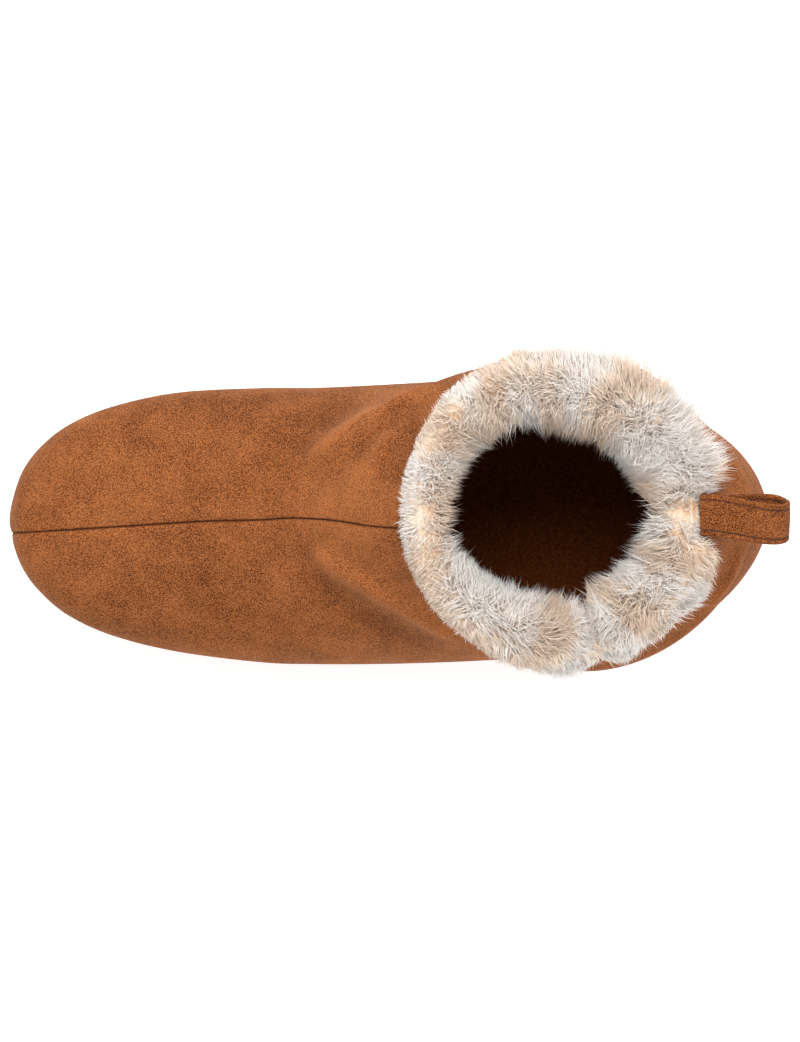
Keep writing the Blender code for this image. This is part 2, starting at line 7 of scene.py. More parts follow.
import functools
import math
from collections import namedtuple

import bmesh
import bpy
import numpy as np
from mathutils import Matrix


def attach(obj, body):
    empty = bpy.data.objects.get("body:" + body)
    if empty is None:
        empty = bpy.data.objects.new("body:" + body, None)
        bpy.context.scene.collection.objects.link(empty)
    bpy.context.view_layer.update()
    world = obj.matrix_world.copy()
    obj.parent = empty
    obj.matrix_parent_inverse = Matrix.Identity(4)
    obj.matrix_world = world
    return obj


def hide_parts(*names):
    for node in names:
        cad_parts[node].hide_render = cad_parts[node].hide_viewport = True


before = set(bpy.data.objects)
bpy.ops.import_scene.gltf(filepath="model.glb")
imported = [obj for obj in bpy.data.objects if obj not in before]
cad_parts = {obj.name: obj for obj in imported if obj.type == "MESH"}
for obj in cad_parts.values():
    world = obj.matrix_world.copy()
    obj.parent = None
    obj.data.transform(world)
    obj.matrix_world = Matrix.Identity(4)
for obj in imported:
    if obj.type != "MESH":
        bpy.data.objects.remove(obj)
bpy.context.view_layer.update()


# Studio
# A white light table, one wide soft light from the shoe's inner side, a dimmer one from its outer side and a camera
# straight above the middle of the picture.
CAMERA_HEIGHT = 1.3
CAMERA_BACK = -0.0808
VIEW_LENGTH = 0.3657
SENSOR = 36
TABLE_SIZE = 4.0
TABLE_GAP = 0.0003
ROOM_GLOW = 0.70
TABLE_GLOW = 0.45


def rows_of(fields, *rows):
    """A table whose rows have named fields."""
    kind = namedtuple("row", fields)
    return [kind(*row) for row in rows]


LAMP_AIM = 0.08
LAMPS = rows_of(
    "name place size power",
    ("soft_box", (-0.15, 0.8, 1.36), 1.0, 24.0), ("filler", (0.35, -1.1, 1.1), 1.2, 6.0),
)


def linear(colour):
    """A colour as it looks, in sRGB from 0 to 255, as the shader takes it."""
    shares = np.array(colour) / 255
    return (*np.where(shares < 0.04045, shares / 12.92, ((shares + 0.055) / 1.055) ** 2.4), 1)


def new_object(name, data):
    obj = bpy.data.objects.new(name, data)
    bpy.context.scene.collection.objects.link(obj)
    return obj


def new_piece(name, mesh, *materials):
    for material in materials:
        mesh.materials.append(material)
    mesh.shade_smooth()
    return new_object(name, mesh)


def set_inputs(node, inputs):
    """Give a node's inputs their values, or join them to other nodes' outputs."""
    for name, value in inputs.items():
        if isinstance(value, bpy.types.NodeSocket):
            node.id_data.links.new(value, node.inputs[name])
        else:
            node.inputs[name].default_value = value
    return node


def new_material(name, colour, roughness):
    material = bpy.data.materials.new(name)
    material.use_nodes = True
    shader = material.node_tree.nodes["Principled BSDF"]
    set_inputs(shader, {"Base Color": linear(colour), "Roughness": roughness})
    return material, material.node_tree, shader


table_white, _, table_shader = new_material("table_white", (247, 247, 247), 0.9)
set_inputs(table_shader, {"Emission Color": (1, 1, 1, 1), "Emission Strength": TABLE_GLOW})
table_mesh = bpy.data.meshes.new("table")
half = TABLE_SIZE / 2
table_corners = [(x * half, y * half, -TABLE_GAP) for x, y in ((-1, -1), (1, -1), (1, 1), (-1, 1))]
table_mesh.from_pydata(table_corners, [], [(0, 1, 2, 3)])
table = new_piece("table", table_mesh, table_white)

for lamp in LAMPS:
    light = bpy.data.lights.new(lamp.name, "AREA")
    light.size = lamp.size
    light.energy = lamp.power
    holder = new_object(lamp.name, light)
    holder.location = lamp.place
    aim = holder.location.copy()
    aim.x += LAMP_AIM
    holder.rotation_euler = aim.to_track_quat("Z", "Y").to_euler()

room = bpy.data.worlds.new("room")
room.use_nodes = True
set_inputs(room.node_tree.nodes["Background"], {"Color": (1, 1, 1, 1), "Strength": ROOM_GLOW})
bpy.context.scene.world = room
bpy.context.scene.view_settings.view_transform = "Standard"

camera_data = bpy.data.cameras.new("camera")
camera_data.sensor_width = SENSOR
camera_data.lens = SENSOR * CAMERA_HEIGHT / VIEW_LENGTH
camera = new_object("camera", camera_data)
camera.location = (CAMERA_BACK, 0, CAMERA_HEIGHT)
bpy.context.scene.camera = camera


# Suede upper
# Two halves of brushed tan suede, closed by a plain seam over the vamp and another up the heel, with a dark plush
# lining behind them. The shaft is soft and slouches on the foot in a roll. Its creases and broad patches carry
# painted light and shade, and its seams are darkened as dark joints with painted shade in their grooves.
LENGTH = 0.260
BALL_WIDTH = 0.095
INSTEP_RISE = 0.0565
COLLAR_WIDTH = 0.096
SHAFT_RISE = 0.097
WALL = 0.0026
HEEL_SEAT = 0.045
FIT_GAP = 0.0003
SOLE_THICKNESS = 0.0075
TOE_SPRING = 0.0050
TOE_SPRING_LENGTH = 0.070

# Sections from the toe, as in the solid: places are shares of LENGTH, heights of INSTEP_RISE and widths of
# BALL_WIDTH; then from the instep to the collar, as shares of SHAFT_RISE and COLLAR_WIDTH.
SECTION = "top_at top_up low_at low_up medial lateral swing waist_m waist_l full_top full_low"
FOOT = rows_of(
    SECTION,
    (0.0, 0.22, 0.0, 0.22, 0.0, 0.0, 0.0, 0.5, 0.5, 2.0, 2.0),
    (0.004, 0.37, 0.004, 0.1, 0.075, 0.072, 0.0, 0.48, 0.48, 2.0, 2.1),
    (0.018, 0.51, 0.018, 0.0, 0.182, 0.172, 0.002, 0.46, 0.46, 2.0, 2.3),
    (0.042, 0.6, 0.042, -0.08, 0.27, 0.26, 0.004, 0.46, 0.46, 2.0, 2.5),
    (0.079, 0.67, 0.079, -0.13, 0.349, 0.343, 0.003, 0.46, 0.46, 2.1, 2.6),
    (0.136, 0.725, 0.136, -0.18, 0.415, 0.415, 0.0, 0.47, 0.47, 2.1, 2.6),
    (0.222, 0.8, 0.222, -0.21, 0.466, 0.474, -0.005, 0.5, 0.5, 2.1, 2.6),
    (0.333, 0.93, 0.333, -0.23, 0.482, 0.512, -0.008, 0.53, 0.53, 2.0, 2.6),
    (0.388, 1.06, 0.415, -0.23, 0.482, 0.518, -0.008, 0.55, 0.56, 1.95, 2.6),
)
SHAFT = rows_of(
    SECTION,
    (0.426, 0.711, 0.53, -0.134, 0.486, 0.512, -0.003, 0.58, 0.6, 1.9, 2.6),
    (0.459, 0.804, 0.66, -0.134, 0.498, 0.504, 0.005, 0.58, 0.6, 1.9, 2.6),
    (0.486, 0.887, 0.8, -0.134, 0.508, 0.49, 0.015, 0.53, 0.56, 1.9, 2.5),
    (0.506, 0.943, 0.925, -0.09, 0.518, 0.48, 0.022, 0.48, 0.51, 2.0, 2.1),
    (0.517, 0.974, 0.985, 0.07, 0.528, 0.48, 0.02, 0.44, 0.47, 2.0, 1.87),
    (0.524, 0.99, 0.999, 0.31, 0.545, 0.486, 0.018, 0.42, 0.46, 2.0, 1.78),
    (0.528, 1.0, 0.97, 0.58, 0.566, 0.492, 0.018, 0.41, 0.47, 2.0, 1.8),
    (0.5315, 1.01, 0.938, 0.815, 0.556, 0.485, 0.02, 0.4, 0.48, 2.0, 1.85),
    (0.534, 1.022, 0.898, 1.028, 0.522, 0.462, 0.02, 0.4, 0.48, 2.0, 1.95),
)

# The roll where the shaft slouches: around is the share of the way round from the front by the inner side, depth
# below the collar is a share of SHAFT_RISE and rise a share of FOLD_RISE.
SLOUCH = rows_of(
    "around depth rise",
    (0.0, 0.5, 0.0), (0.06, 0.56, 0.1), (0.12, 0.54, 0.08), (0.18, 0.48, 0.45), (0.25, 0.4, 0.9),
    (0.36, 0.35, 0.9), (0.5, 0.36, 0.8), (0.64, 0.36, 0.9), (0.75, 0.38, 1.0), (0.84, 0.4, 0.5),
    (0.9, 0.38, 0.08), (0.95, 0.42, 0.0), (1.0, 0.5, 0.0),
)

FOLD_RISE = 0.0034
FOLD_REACH = 0.0070
FOLD_LIP = 0.24
FOLD_TROUGH = 0.50
FOLD_SPREAD = 1.9
FOLD_SMOOTH = 0.02
FOLD_FROM = 6
FOLD_STEPS = 160
FOLD_RINGS = (0.40, 0.55, 0.70, 0.85, 1)

# Where the slouched shaft bags out (rise above 0) or falls in: depth and deep are shares of SHAFT_RISE.
SWELLS = rows_of(
    "around depth wide deep rise",
    (0.14, 0.42, 0.065, 0.25, 0.0054), (0.38, 0.45, 0.05, 0.34, -0.0034),
)

# Soft troughs (rise below 0) and ridges seen from above, each along a curve through three points: s as a share of
# LENGTH and y as a share of BALL_WIDTH. Width and rise are in metres. Where the leather faces up, the same rise is
# also painted into its colour: painted light on the ridges and painted shade in the troughs.
CREASES = rows_of(
    "s0 y0 s1 y1 s2 y2 width rise",
    (0.388, 0.15, 0.455, 0.325, 0.575, 0.495, 0.0034, 0.0024),
    (0.35, 0.205, 0.405, 0.35, 0.48, 0.47, 0.0066, -0.0018),
    (0.44, 0.08, 0.478, 0.205, 0.52, 0.345, 0.0042, 0.0013),
    (0.455, 0.18, 0.48, 0.29, 0.545, 0.42, 0.0034, -0.001),
    (0.512, 0.08, 0.516, 0.2, 0.55, 0.35, 0.0042, -0.0016),
    (0.382, -0.065, 0.484, -0.24, 0.613, -0.44, 0.003, 0.0023),
    (0.372, -0.15, 0.455, -0.31, 0.585, -0.5, 0.0056, -0.002),
    (0.395, 0.07, 0.455, 0.01, 0.525, -0.06, 0.013, 0.0013),
    (0.35, -0.06, 0.375, -0.11, 0.41, -0.17, 0.006, -0.0011),
    (0.945, -0.06, 0.936, -0.19, 0.896, -0.32, 0.0013, 0.0011),
    (0.947, 0.1, 0.938, 0.2, 0.905, 0.33, 0.0016, 0.0007), (0.13, 0.2, 0.23, 0.24, 0.33, 0.22, 0.009, 0.0005),
    (0.15, -0.24, 0.24, -0.22, 0.32, -0.17, 0.008, -0.0006),
)
# How much crease rise gives full painted light or shade, and how creases and their painted light and shade fade where
# the leather turns from facing up.
CREASE_FULL_SHADE_LIFT = 0.0024
CREASE_FACING = 0.05
CREASE_TURN = 0.35

# Broad patches of painted light (tone above 0) and painted shade (tone below 0) on the suede: s as a share of
# LENGTH, y as a share of BALL_WIDTH, reach along and across in the same shares, and how much.
LIGHT_AND_SHADE_PATCHES = rows_of(
    "s y long wide tone",
    (0.56, 0.52, 0.1, 0.11, -0.45), (0.29, 0.44, 0.15, 0.07, -0.55), (0.47, -0.5, 0.12, 0.13, 0.45),
    (0.25, 0.06, 0.12, 0.09, 0.22), (0.21, 0.27, 0.045, 0.07, -0.35), (0.105, -0.11, 0.05, 0.09, -0.3),
    (0.27, -0.17, 0.07, 0.1, -0.35), (0.05, 0.12, 0.04, 0.12, 0.25), (0.41, 0.09, 0.06, 0.11, 0.35),
)

# Where the vamp's seam runs: s as a share of LENGTH, y as a share of BALL_WIDTH.
VAMP_SEAM = rows_of(
    "s y",
    (-0.02, -0.044), (0.01, -0.044), (0.125, -0.025), (0.258, -0.002), (0.33, 0.003), (0.375, 0.01),
    (0.42, 0.004), (0.453, -0.008), (0.475, -0.018), (0.516, -0.027), (0.56, -0.027),
)
SEAM_END = 0.56
SEAM_WIDTH = 0.00031
SEAM_DEPTH = 0.00060
SEAM_PULL_WIDTH = 0.0021
SEAM_PULL = 0.00040
SEAM_MARK = 1.15
SEAM_CROWD = 0.86
SEAM_TIP = 0.004
SEAM_EASE = 0.02
SEAM_WOBBLE = 0.25
WOBBLE_RATES = (2100, 830)
TOE_FACE = 0.02
HEEL_SEAM_FROM = 0.7
SECTION_STEPS = 400
FOOT_RINGS = 90
SHAFT_RINGS = 130
AROUND = 260
LINING_STEP = 5

# The suede's tone, from broad patches to fine flecks: each noise is stretched from low to high and weighed.
SUEDE_GRAINS = rows_of(
    "scale detail low high weight",
    (30.0, 2.0, 0.36, 0.64, 0.13), (120.0, 3.0, 0.36, 0.64, 0.12), (2500.0, 3.0, 0.43, 0.57, 0.75),
)
# How strongly painted light and shade (creases, broad patches and the pull loop) move the suede between its lighter
# and darker tan.
PAINTED_SHADE_WEIGHT = 0.20
TAN_LIGHT, TAN_DARK = (172, 103, 57), (64, 28, 8)
# The thread's brown, which the seams and the loop's stitch grooves are also darkened towards: dark joints with
# painted shade in the grooves.
THREAD_AND_SHADE_BROWN = (66, 31, 15)
PLUSH_LIGHT, PLUSH_DARK = (114, 60, 25), (84, 39, 14)


def sole_top(s):
    return SOLE_THICKNESS + TOE_SPRING * np.clip(1 - s / TOE_SPRING_LENGTH, 0, 1) ** 2


def ease(x):
    x = np.clip(x, 0, 1)
    return x * x * (3 - 2 * x)


def bell(x, width):
    return np.exp(-(x / width) ** 2)


def unit(vectors):
    return vectors / np.linalg.norm(vectors, axis=-1, keepdims=True)


def steps_over(grid, axis):
    """At each point of a closed grid, the way from its neighbour before to its neighbour after."""
    return np.roll(grid, -1, axis) - np.roll(grid, 1, axis)


def sample(wanted, places, points):
    """Points at wanted places along a curve that is known at some places."""
    return np.stack([np.interp(wanted, places, axis) for axis in points.T], -1)


def cubic(rows, place):
    """A smooth curve through the rows, whose first and last only steer its ends; place counts rows."""
    k = np.clip(np.asarray(place).astype(int), 0, len(rows) - 4)
    t = (place - k)[:, None]
    a, b, c, d = (rows[k + i] for i in range(4))
    return b + 0.5 * t * (c - a + t * (2 * a - 5 * b + 4 * c - d + t * (3 * (b - c) + d - a)))


def section_rows():
    rows = []
    for table_rows, rise, width in ((FOOT, INSTEP_RISE, BALL_WIDTH), (SHAFT, SHAFT_RISE, COLLAR_WIDTH)):
        for row in table_rows:
            top = row.top_at * LENGTH
            low = row.low_at * LENGTH
            heights = (top, sole_top(top) + row.top_up * rise, low, sole_top(low) + row.low_up * rise)
            widths = (row.medial * width, row.lateral * width, row.swing * width)
            rows.append(heights + widths + row[7:])
    rows = np.array(rows)
    before = rows[1] * [1, 0, 1, 0, -1, -1, 1, 1, 1, 1, 1]
    before[[1, 3]] = rows[1][[3, 1]]
    return np.vstack([before, rows, 2 * rows[-1] - rows[-2]])


def half_section(row, side, count):
    """Points evenly round one half of a section, from its top to its lowest point."""
    top, top_z, low, low_z, medial, lateral, swing, waist_m, waist_l, full_top, full_low = row
    reach, waist = (medial - swing, waist_m) if side > 0 else (lateral + swing, waist_l)
    angle = np.linspace(0, math.pi, SECTION_STEPS)
    power = 2 / np.where(angle < math.pi / 2, full_top, full_low)
    sine = np.sin(angle).clip(0) ** power
    cosine = np.abs(np.cos(angle)) ** power
    along = np.where(angle < math.pi / 2, waist * (1 - cosine), waist + (1 - waist) * cosine)
    s, z = top + along * (low - top), top_z + along * (low_z - top_z)
    points = np.stack([s, swing + side * reach * sine, z], 1)
    run = np.append(0, np.cumsum(np.linalg.norm(np.diff(points, axis=0), axis=1)))
    return sample(np.linspace(0, run[-1], count + 1), run, points)


def outward(grid):
    """Unit normals of a grid of rings, pointing out of the shoe."""
    normal = np.cross(np.gradient(grid, axis=0), steps_over(grid, 1))
    normal[0] = (-1, 0, 0)
    return unit(normal)


def depths(grid):
    steps = np.linalg.norm(np.diff(grid, axis=0), axis=2)
    below = np.zeros(grid.shape[:2])
    below[:-1] = np.cumsum(steps[::-1], axis=0)[::-1]
    return below


def base_rings(places):
    grid = np.empty((len(places), AROUND, 3))
    mid = AROUND // 2
    for ring, row in zip(grid, cubic(section_rows(), places)):
        ring[:mid + 1] = half_section(row, 1, mid)
        ring[mid:] = half_section(row, -1, mid)[:0:-1]
    return grid


def round_smooth(values, reach):
    """Values round a ring, smoothed over a share of the way round."""
    off = (np.arange(AROUND) + AROUND // 2) % AROUND - AROUND // 2
    kernel = bell(off, reach * AROUND)
    return np.real(np.fft.ifft(np.fft.fft(values) * np.fft.fft(kernel / kernel.sum())))


@functools.cache
def skin():
    """Outer face of the upper as rings from the toe to the collar, with its slouch, before creases and seams."""
    places = np.linspace(FOLD_FROM, len(FOOT) + len(SHAFT) - 1, FOLD_STEPS)
    dense = base_rings(places)
    below = depths(dense)
    share = np.arange(AROUND) / AROUND
    around, fold_depth, fold_rise = np.array(SLOUCH).T
    ridge = round_smooth(np.interp(share, around, fold_depth), FOLD_SMOOTH) * SHAFT_RISE
    rise = round_smooth(np.interp(share, around, fold_rise), FOLD_SMOOTH) * FOLD_RISE
    trough = 1.5 * FOLD_REACH
    at = np.linspace(0, 1, SHAFT_RINGS)
    depth = np.empty((SHAFT_RINGS, AROUND))
    shaft = np.empty((SHAFT_RINGS, AROUND, 3))
    for k in range(AROUND):
        column = below[:, k]
        marks = ridge[k] + np.array([2 * trough, trough, 0, -trough, -ridge[k]])
        end = np.interp(marks[0], column[::-1], places[::-1])
        low = np.interp(FOLD_FROM + (end - FOLD_FROM) * at / FOLD_RINGS[0], places, column)
        depth[:, k] = np.where(at < FOLD_RINGS[0], low, np.interp(at, FOLD_RINGS, marks))
        shaft[:, k] = sample(depth[:, k], column[::-1], dense[::-1, k])
    foot = base_rings(np.linspace(0, FOLD_FROM, FOOT_RINGS, endpoint=False))
    grid = np.vstack([foot, shaft])
    depth = (np.vstack([depths(foot) + depth[0] + FOLD_REACH, depth]) - ridge) / FOLD_REACH
    lip = (1 + FOLD_TROUGH) * bell(depth, FOLD_LIP)
    lip -= FOLD_TROUGH * bell(depth, FOLD_SPREAD)
    lift = rise * np.where(depth < 0, np.exp(-depth ** 2), lip)
    below = (depth * FOLD_REACH + ridge) / SHAFT_RISE
    for swell in SWELLS:
        aside, down = (share - swell.around) / swell.wide, (below - swell.depth) / swell.deep
        lift += swell.rise * np.exp(-aside ** 2 - down ** 2)
    return grid + lift[..., None] * outward(grid)


def place(points):
    """From distances behind the toe to the shoe's own frame."""
    return np.asarray(points) - (LENGTH - HEEL_SEAT, 0, 0)


def on_path(points, path):
    """How far points lie from a path seen from above, and where along it the nearest place is, from 0 to 1."""
    steps = np.diff(path, axis=0)
    sizes = (steps ** 2).sum(axis=1)
    lengths = np.sqrt(sizes)
    run = np.append(0, np.cumsum(lengths))
    far = np.full(points.shape[:-1], np.inf)
    along = np.zeros(points.shape[:-1])
    for k, step in enumerate(steps):
        share = (((points - path[k]) @ step) / sizes[k]).clip(0, 1)
        off = np.linalg.norm(points - path[k] - share[..., None] * step, axis=-1)
        nearer = off < far
        far = np.where(nearer, off, far)
        along = np.where(nearer, (run[k] + share * lengths[k]) / run[-1], along)
    return far, along


def seam_y(s):
    before, after = (2 * VAMP_SEAM[0].s - VAMP_SEAM[1].s, VAMP_SEAM[0].y), (1, VAMP_SEAM[-1].y)
    path = cubic(np.array([before, *VAMP_SEAM, after]), np.linspace(0, len(VAMP_SEAM) - 1, 200))
    return np.interp(s, path[:, 0] * LENGTH, path[:, 1] * BALL_WIDTH)


def along_seams(grid):
    """The same rings with their columns turned to start on the vamp's seam and crowded along both seams."""
    even = np.arange(AROUND) / AROUND
    crowded = even - SEAM_CROWD * np.sin(4 * math.pi * even) / (4 * math.pi)
    near = np.arange(-AROUND // 10, AROUND // 10 + 1)
    turned = np.empty_like(grid)
    for k, ring in enumerate(grid):
        front = ring[near]
        front_s = front[len(near) // 2, 0]
        want = seam_y(front_s) * ease((front_s - SEAM_TIP) / SEAM_EASE)
        start = np.interp(want, front[:, 1], near / AROUND) if k > 1 else 0
        first, second = start + crowded * 2 * (0.5 - start), 0.5 + (crowded - 0.5) * 2 * (0.5 + start)
        wanted = np.where(crowded < 0.5, first, second)
        turned[k] = sample(wanted % 1, np.append(even, 1), np.vstack([ring, ring[:1]]))
    return turned


def creased(grid):
    """Soft creases pressed into the top of the leather, and a tone of painted light and shade: lighter where a point
    stands up (1), darker where it lies low (-1), with broad patches of painted light and shade added.
    """
    normal = outward(grid)
    facing = ease((normal[..., 2] - CREASE_FACING) / CREASE_TURN)
    lift = np.zeros(grid.shape[:2])
    for crease_and_shade in CREASES:
        ends = np.array([(crease_and_shade.s0, crease_and_shade.y0), (crease_and_shade.s1, crease_and_shade.y1), (crease_and_shade.s2, crease_and_shade.y2)])
        ends = ends * (LENGTH, BALL_WIDTH)
        t = np.linspace(0, 1, 12)[:, None]
        path = ends[0] * (1 - t) * (1 - 2 * t) + ends[1] * 4 * t * (1 - t) + ends[2] * t * (2 * t - 1)
        far, along = on_path(grid[..., :2], path)
        fade = ease(4 * along) * ease(4 * (1 - along))
        lift += crease_and_shade.rise * fade * bell(far, crease_and_shade.width)
    # Painted light on the ridges and painted shade in the troughs, where the leather faces up.
    tone = (lift * facing / CREASE_FULL_SHADE_LIFT).clip(-1, 1)
    # Broad patches of painted light and shade.
    for light_shade_patch in LIGHT_AND_SHADE_PATCHES:
        along, across = grid[..., 0] / LENGTH - light_shade_patch.s, grid[..., 1] / BALL_WIDTH - light_shade_patch.y
        tone += light_shade_patch.tone * np.exp(-(along / light_shade_patch.long) ** 2 - (across / light_shade_patch.wide) ** 2)
    return grid + (lift * facing)[..., None] * normal, tone


def seamed(grid):
    """The leather rolled down into its two seams, and how near each point is to one, from 0 to 1."""
    normal = outward(grid)
    s = np.linspace(-0.02, SEAM_END, 120) * LENGTH
    far, _ = on_path(grid[..., :2], np.stack([s, seam_y(s)], 1))
    upper = (normal[..., 2] > -0.2) | (grid[..., 0] < TOE_FACE)
    near = np.where(upper & (grid[..., 0] < SEAM_END * LENGTH), far, 1)
    behind = (grid[..., 0] > HEEL_SEAM_FROM * LENGTH) & (normal[..., 2] > -0.9)
    aside = np.abs(grid[..., 1] - grid[:, AROUND // 2, None, 1])
    near = np.minimum(near, np.where(behind, aside, 1))
    wobble = 1 + SEAM_WOBBLE * np.sin(grid[..., 0] * WOBBLE_RATES[0]) * np.sin(grid[..., 0] * WOBBLE_RATES[1] + 1)
    lift = -SEAM_DEPTH * wobble * bell(near, SEAM_WIDTH)
    lift -= SEAM_PULL * bell(near, SEAM_PULL_WIDTH)
    # The nearness darkens the colour along the seams: the dark joint, with painted shade in the groove.
    return grid + lift[..., None] * normal, bell(near / SEAM_WIDTH, SEAM_MARK)


def add_node(tree, kind, output, inputs, **settings):
    """The named output of a new node with its inputs and settings."""
    node = tree.nodes.new(kind)
    for name, value in settings.items():
        setattr(node, name, value)
    return set_inputs(node, inputs).outputs[output]


def adder(kind, output, *names, **settings):
    """A function that adds one kind of node to a tree, with values for the named inputs."""
    return lambda tree, *values: add_node(tree, kind, output, dict(zip(names, values)), **settings)


stretched = adder("ShaderNodeMapRange", "Result", "Value", "From Min", "From Max")
weighed = adder("ShaderNodeMath", "Value", 0, 1, 2, operation="MULTIPLY_ADD")
mixed = adder("ShaderNodeMix", "Result", "Factor", "A", "B", data_type="RGBA")
bumped = adder("ShaderNodeBump", "Normal", "Height", "Strength", "Distance")


def noise(tree, scale, detail=2.0, roughness=0.5):
    where = add_node(tree, "ShaderNodeTexCoord", "Object", {})
    inputs = {"Vector": where, "Scale": scale, "Detail": detail, "Roughness": roughness}
    return add_node(tree, "ShaderNodeTexNoise", "Fac", inputs)


def marked(tree, layer):
    return add_node(tree, "ShaderNodeAttribute", "Fac", {}, attribute_name=layer)


def add_sheet(bm, rings, marks, material_index, flip):
    """Quads over rings that close round, of which the first may be a point, with named marks on the points."""
    layers = [bm.verts.layers.float.new(name) for name in marks]
    rows = []
    for k, ring in enumerate(rings):
        if not k and np.allclose(ring, ring[0]):
            rows.append([bm.verts.new(ring[0])] * len(ring))
            continue
        rows.append([bm.verts.new(point) for point in ring])
        for layer, values in zip(layers, marks.values()):
            for vert, value in zip(rows[-1], values[k]):
                vert[layer] = value
    for low, high in zip(rows, rows[1:]):
        for k in range(len(low)):
            n = (k + 1) % len(low)
            quad = [low[k], high[k], high[n], low[n]][:3 if low[k] is low[n] else 4]
            face = bm.faces.new(quad[::-1] if flip else quad)
            face.material_index = material_index
    return rows


def finished(bm, name, *materials):
    """A new piece with the faces turned outwards."""
    bmesh.ops.recalc_face_normals(bm, faces=bm.faces)
    mesh = bpy.data.meshes.new(name)
    bm.to_mesh(mesh)
    bm.free()
    return new_piece(name, mesh, *materials)


suede, tree, shader = new_material("tan_suede", TAN_LIGHT, 0.92)
tone = 0.0
for grain in SUEDE_GRAINS:
    fine = noise(tree, grain.scale, grain.detail, 0.62)
    tone = weighed(tree, stretched(tree, fine, grain.low, grain.high), grain.weight, tone)
# Painted light and shade from the creases, the broad patches and the pull loop lighten or darken the tan.
tone = weighed(tree, marked(tree, "crease_and_shade"), PAINTED_SHADE_WEIGHT, tone)
leather = mixed(tree, tone, linear(TAN_DARK), linear(TAN_LIGHT))
# Along the seams and the loop's stitch grooves the colour goes towards the thread's brown: a dark joint with painted
# shade in the grooves.
set_inputs(shader, {
    "Base Color": mixed(tree, marked(tree, "seam_and_shade"), leather, linear(THREAD_AND_SHADE_BROWN)),
    "Normal": bumped(tree, fine, 0.55, 0.00035),
    "Sheen Weight": 0.10,
    "Sheen Roughness": 0.45,
    "Sheen Tint": linear((255, 196, 140)),
    "Specular IOR Level": 0.10,
})

brown_plush, tree, shader = new_material("brown_plush", PLUSH_LIGHT, 0.95)
pile_noise, swirl = noise(tree, 1700.0, 3.0), noise(tree, 1000.0)
tone = stretched(tree, weighed(tree, pile_noise, 0.5, swirl), 0.55, 0.95)
set_inputs(shader, {
    "Base Color": mixed(tree, tone, linear(PLUSH_DARK), linear(PLUSH_LIGHT)),
    "Normal": bumped(tree, pile_noise, 0.8, 0.0008),
    "Sheen Weight": 0.10,
    "Sheen Tint": linear((150, 96, 60)),
    "Specular IOR Level": 0.05,
})

# The creased and seamed skin, with its marks of painted light and shade, and of the seams' dark joints with painted
# shade.
fine_skin, painted_shade_mark = creased(along_seams(skin()))
fine_skin, seam_and_shade_mark = seamed(fine_skin)
lining_rings = [0, *range(LINING_STEP, len(fine_skin) - 1, LINING_STEP), -1]
inner_skin = (fine_skin - WALL * outward(fine_skin))[lining_rings]
inner_skin[0] = inner_skin[0].mean(axis=0)
bm = bmesh.new()
outer_rows = add_sheet(bm, fine_skin, {"seam_and_shade": seam_and_shade_mark, "crease_and_shade": painted_shade_mark}, 0, True)
inner_rows = add_sheet(bm, inner_skin, {}, 1, False)
for k in range(AROUND):
    n = (k + 1) % AROUND
    bm.faces.new((outer_rows[-1][k], inner_rows[-1][k], inner_rows[-1][n], outer_rows[-1][n]))
for vert in bm.verts:
    vert.co.z -= float(sole_top(vert.co.x)) + FIT_GAP
every = [*bm.verts, *bm.edges, *bm.faces]
cut = bmesh.ops.bisect_plane(bm, geom=every, dist=1e-6, plane_no=(0, 0, 1), clear_inner=True)["geom_cut"]
bmesh.ops.bridge_loops(bm, edges=[part for part in cut if isinstance(part, bmesh.types.BMEdge)])
for vert in bm.verts:
    vert.co.z += float(sole_top(vert.co.x)) + FIT_GAP
    vert.co.x -= LENGTH - HEEL_SEAT
suede_upper = finished(bm, "suede_upper", suede, brown_plush)
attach(suede_upper, "root")
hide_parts("upper")


# Fur collar
# A ring of deep cream faux fur with tan tips, sewn to the lining and folded over the rim of the shaft. Its backing is
# a plain ring; the pile is tufts of tapered hairs rooted in it, parted at the two joins of the strip and at the loop.
# The hair roots and the backing are painted darker, as shade deep in the pile.
FUR_PILE = 0.0175
FUR_FLAP = 0.0022
FUR_RISE = 0.0075
FUR_LINING = 0.036
LINING_CLEAR = 0.0027
FLAP_CLEAR = 0.0009
FRONT_PILE = 0.50
FRONT_REACH = 0.13
LOOP_WIDTH = 0.0136
LOOP_NOTCH = 0.0015
NOTCH_SLOPE = 0.0060
BACKING_SHARE = 0.70
BACKING_AROUND = 220
BACKING_STEPS = 56
TUFTS = 1500
HAIRS = 42
LOOSE_HAIRS = 12000
FUR_PIECES = 5
HAIR_LENGTH = 0.0120
HAIR_WIDTH = 0.00022
TUFT_SPREAD = 0.0026
TUFT_GATHER = 0.42
FUR_SEED = 11
HELD_FLAP = 0.30
HELD_HAIR = 0.46
HELD_DROOP = 1.0
TAN_LEAN = 0.30
TAN_TURN = 0.75
LUMP_DEPTH = 0.34
LUMP_LENGTH = 0.022
SUNK = 0.25
SUNK_FROM = 3.2
SUNK_OVER = 1.8
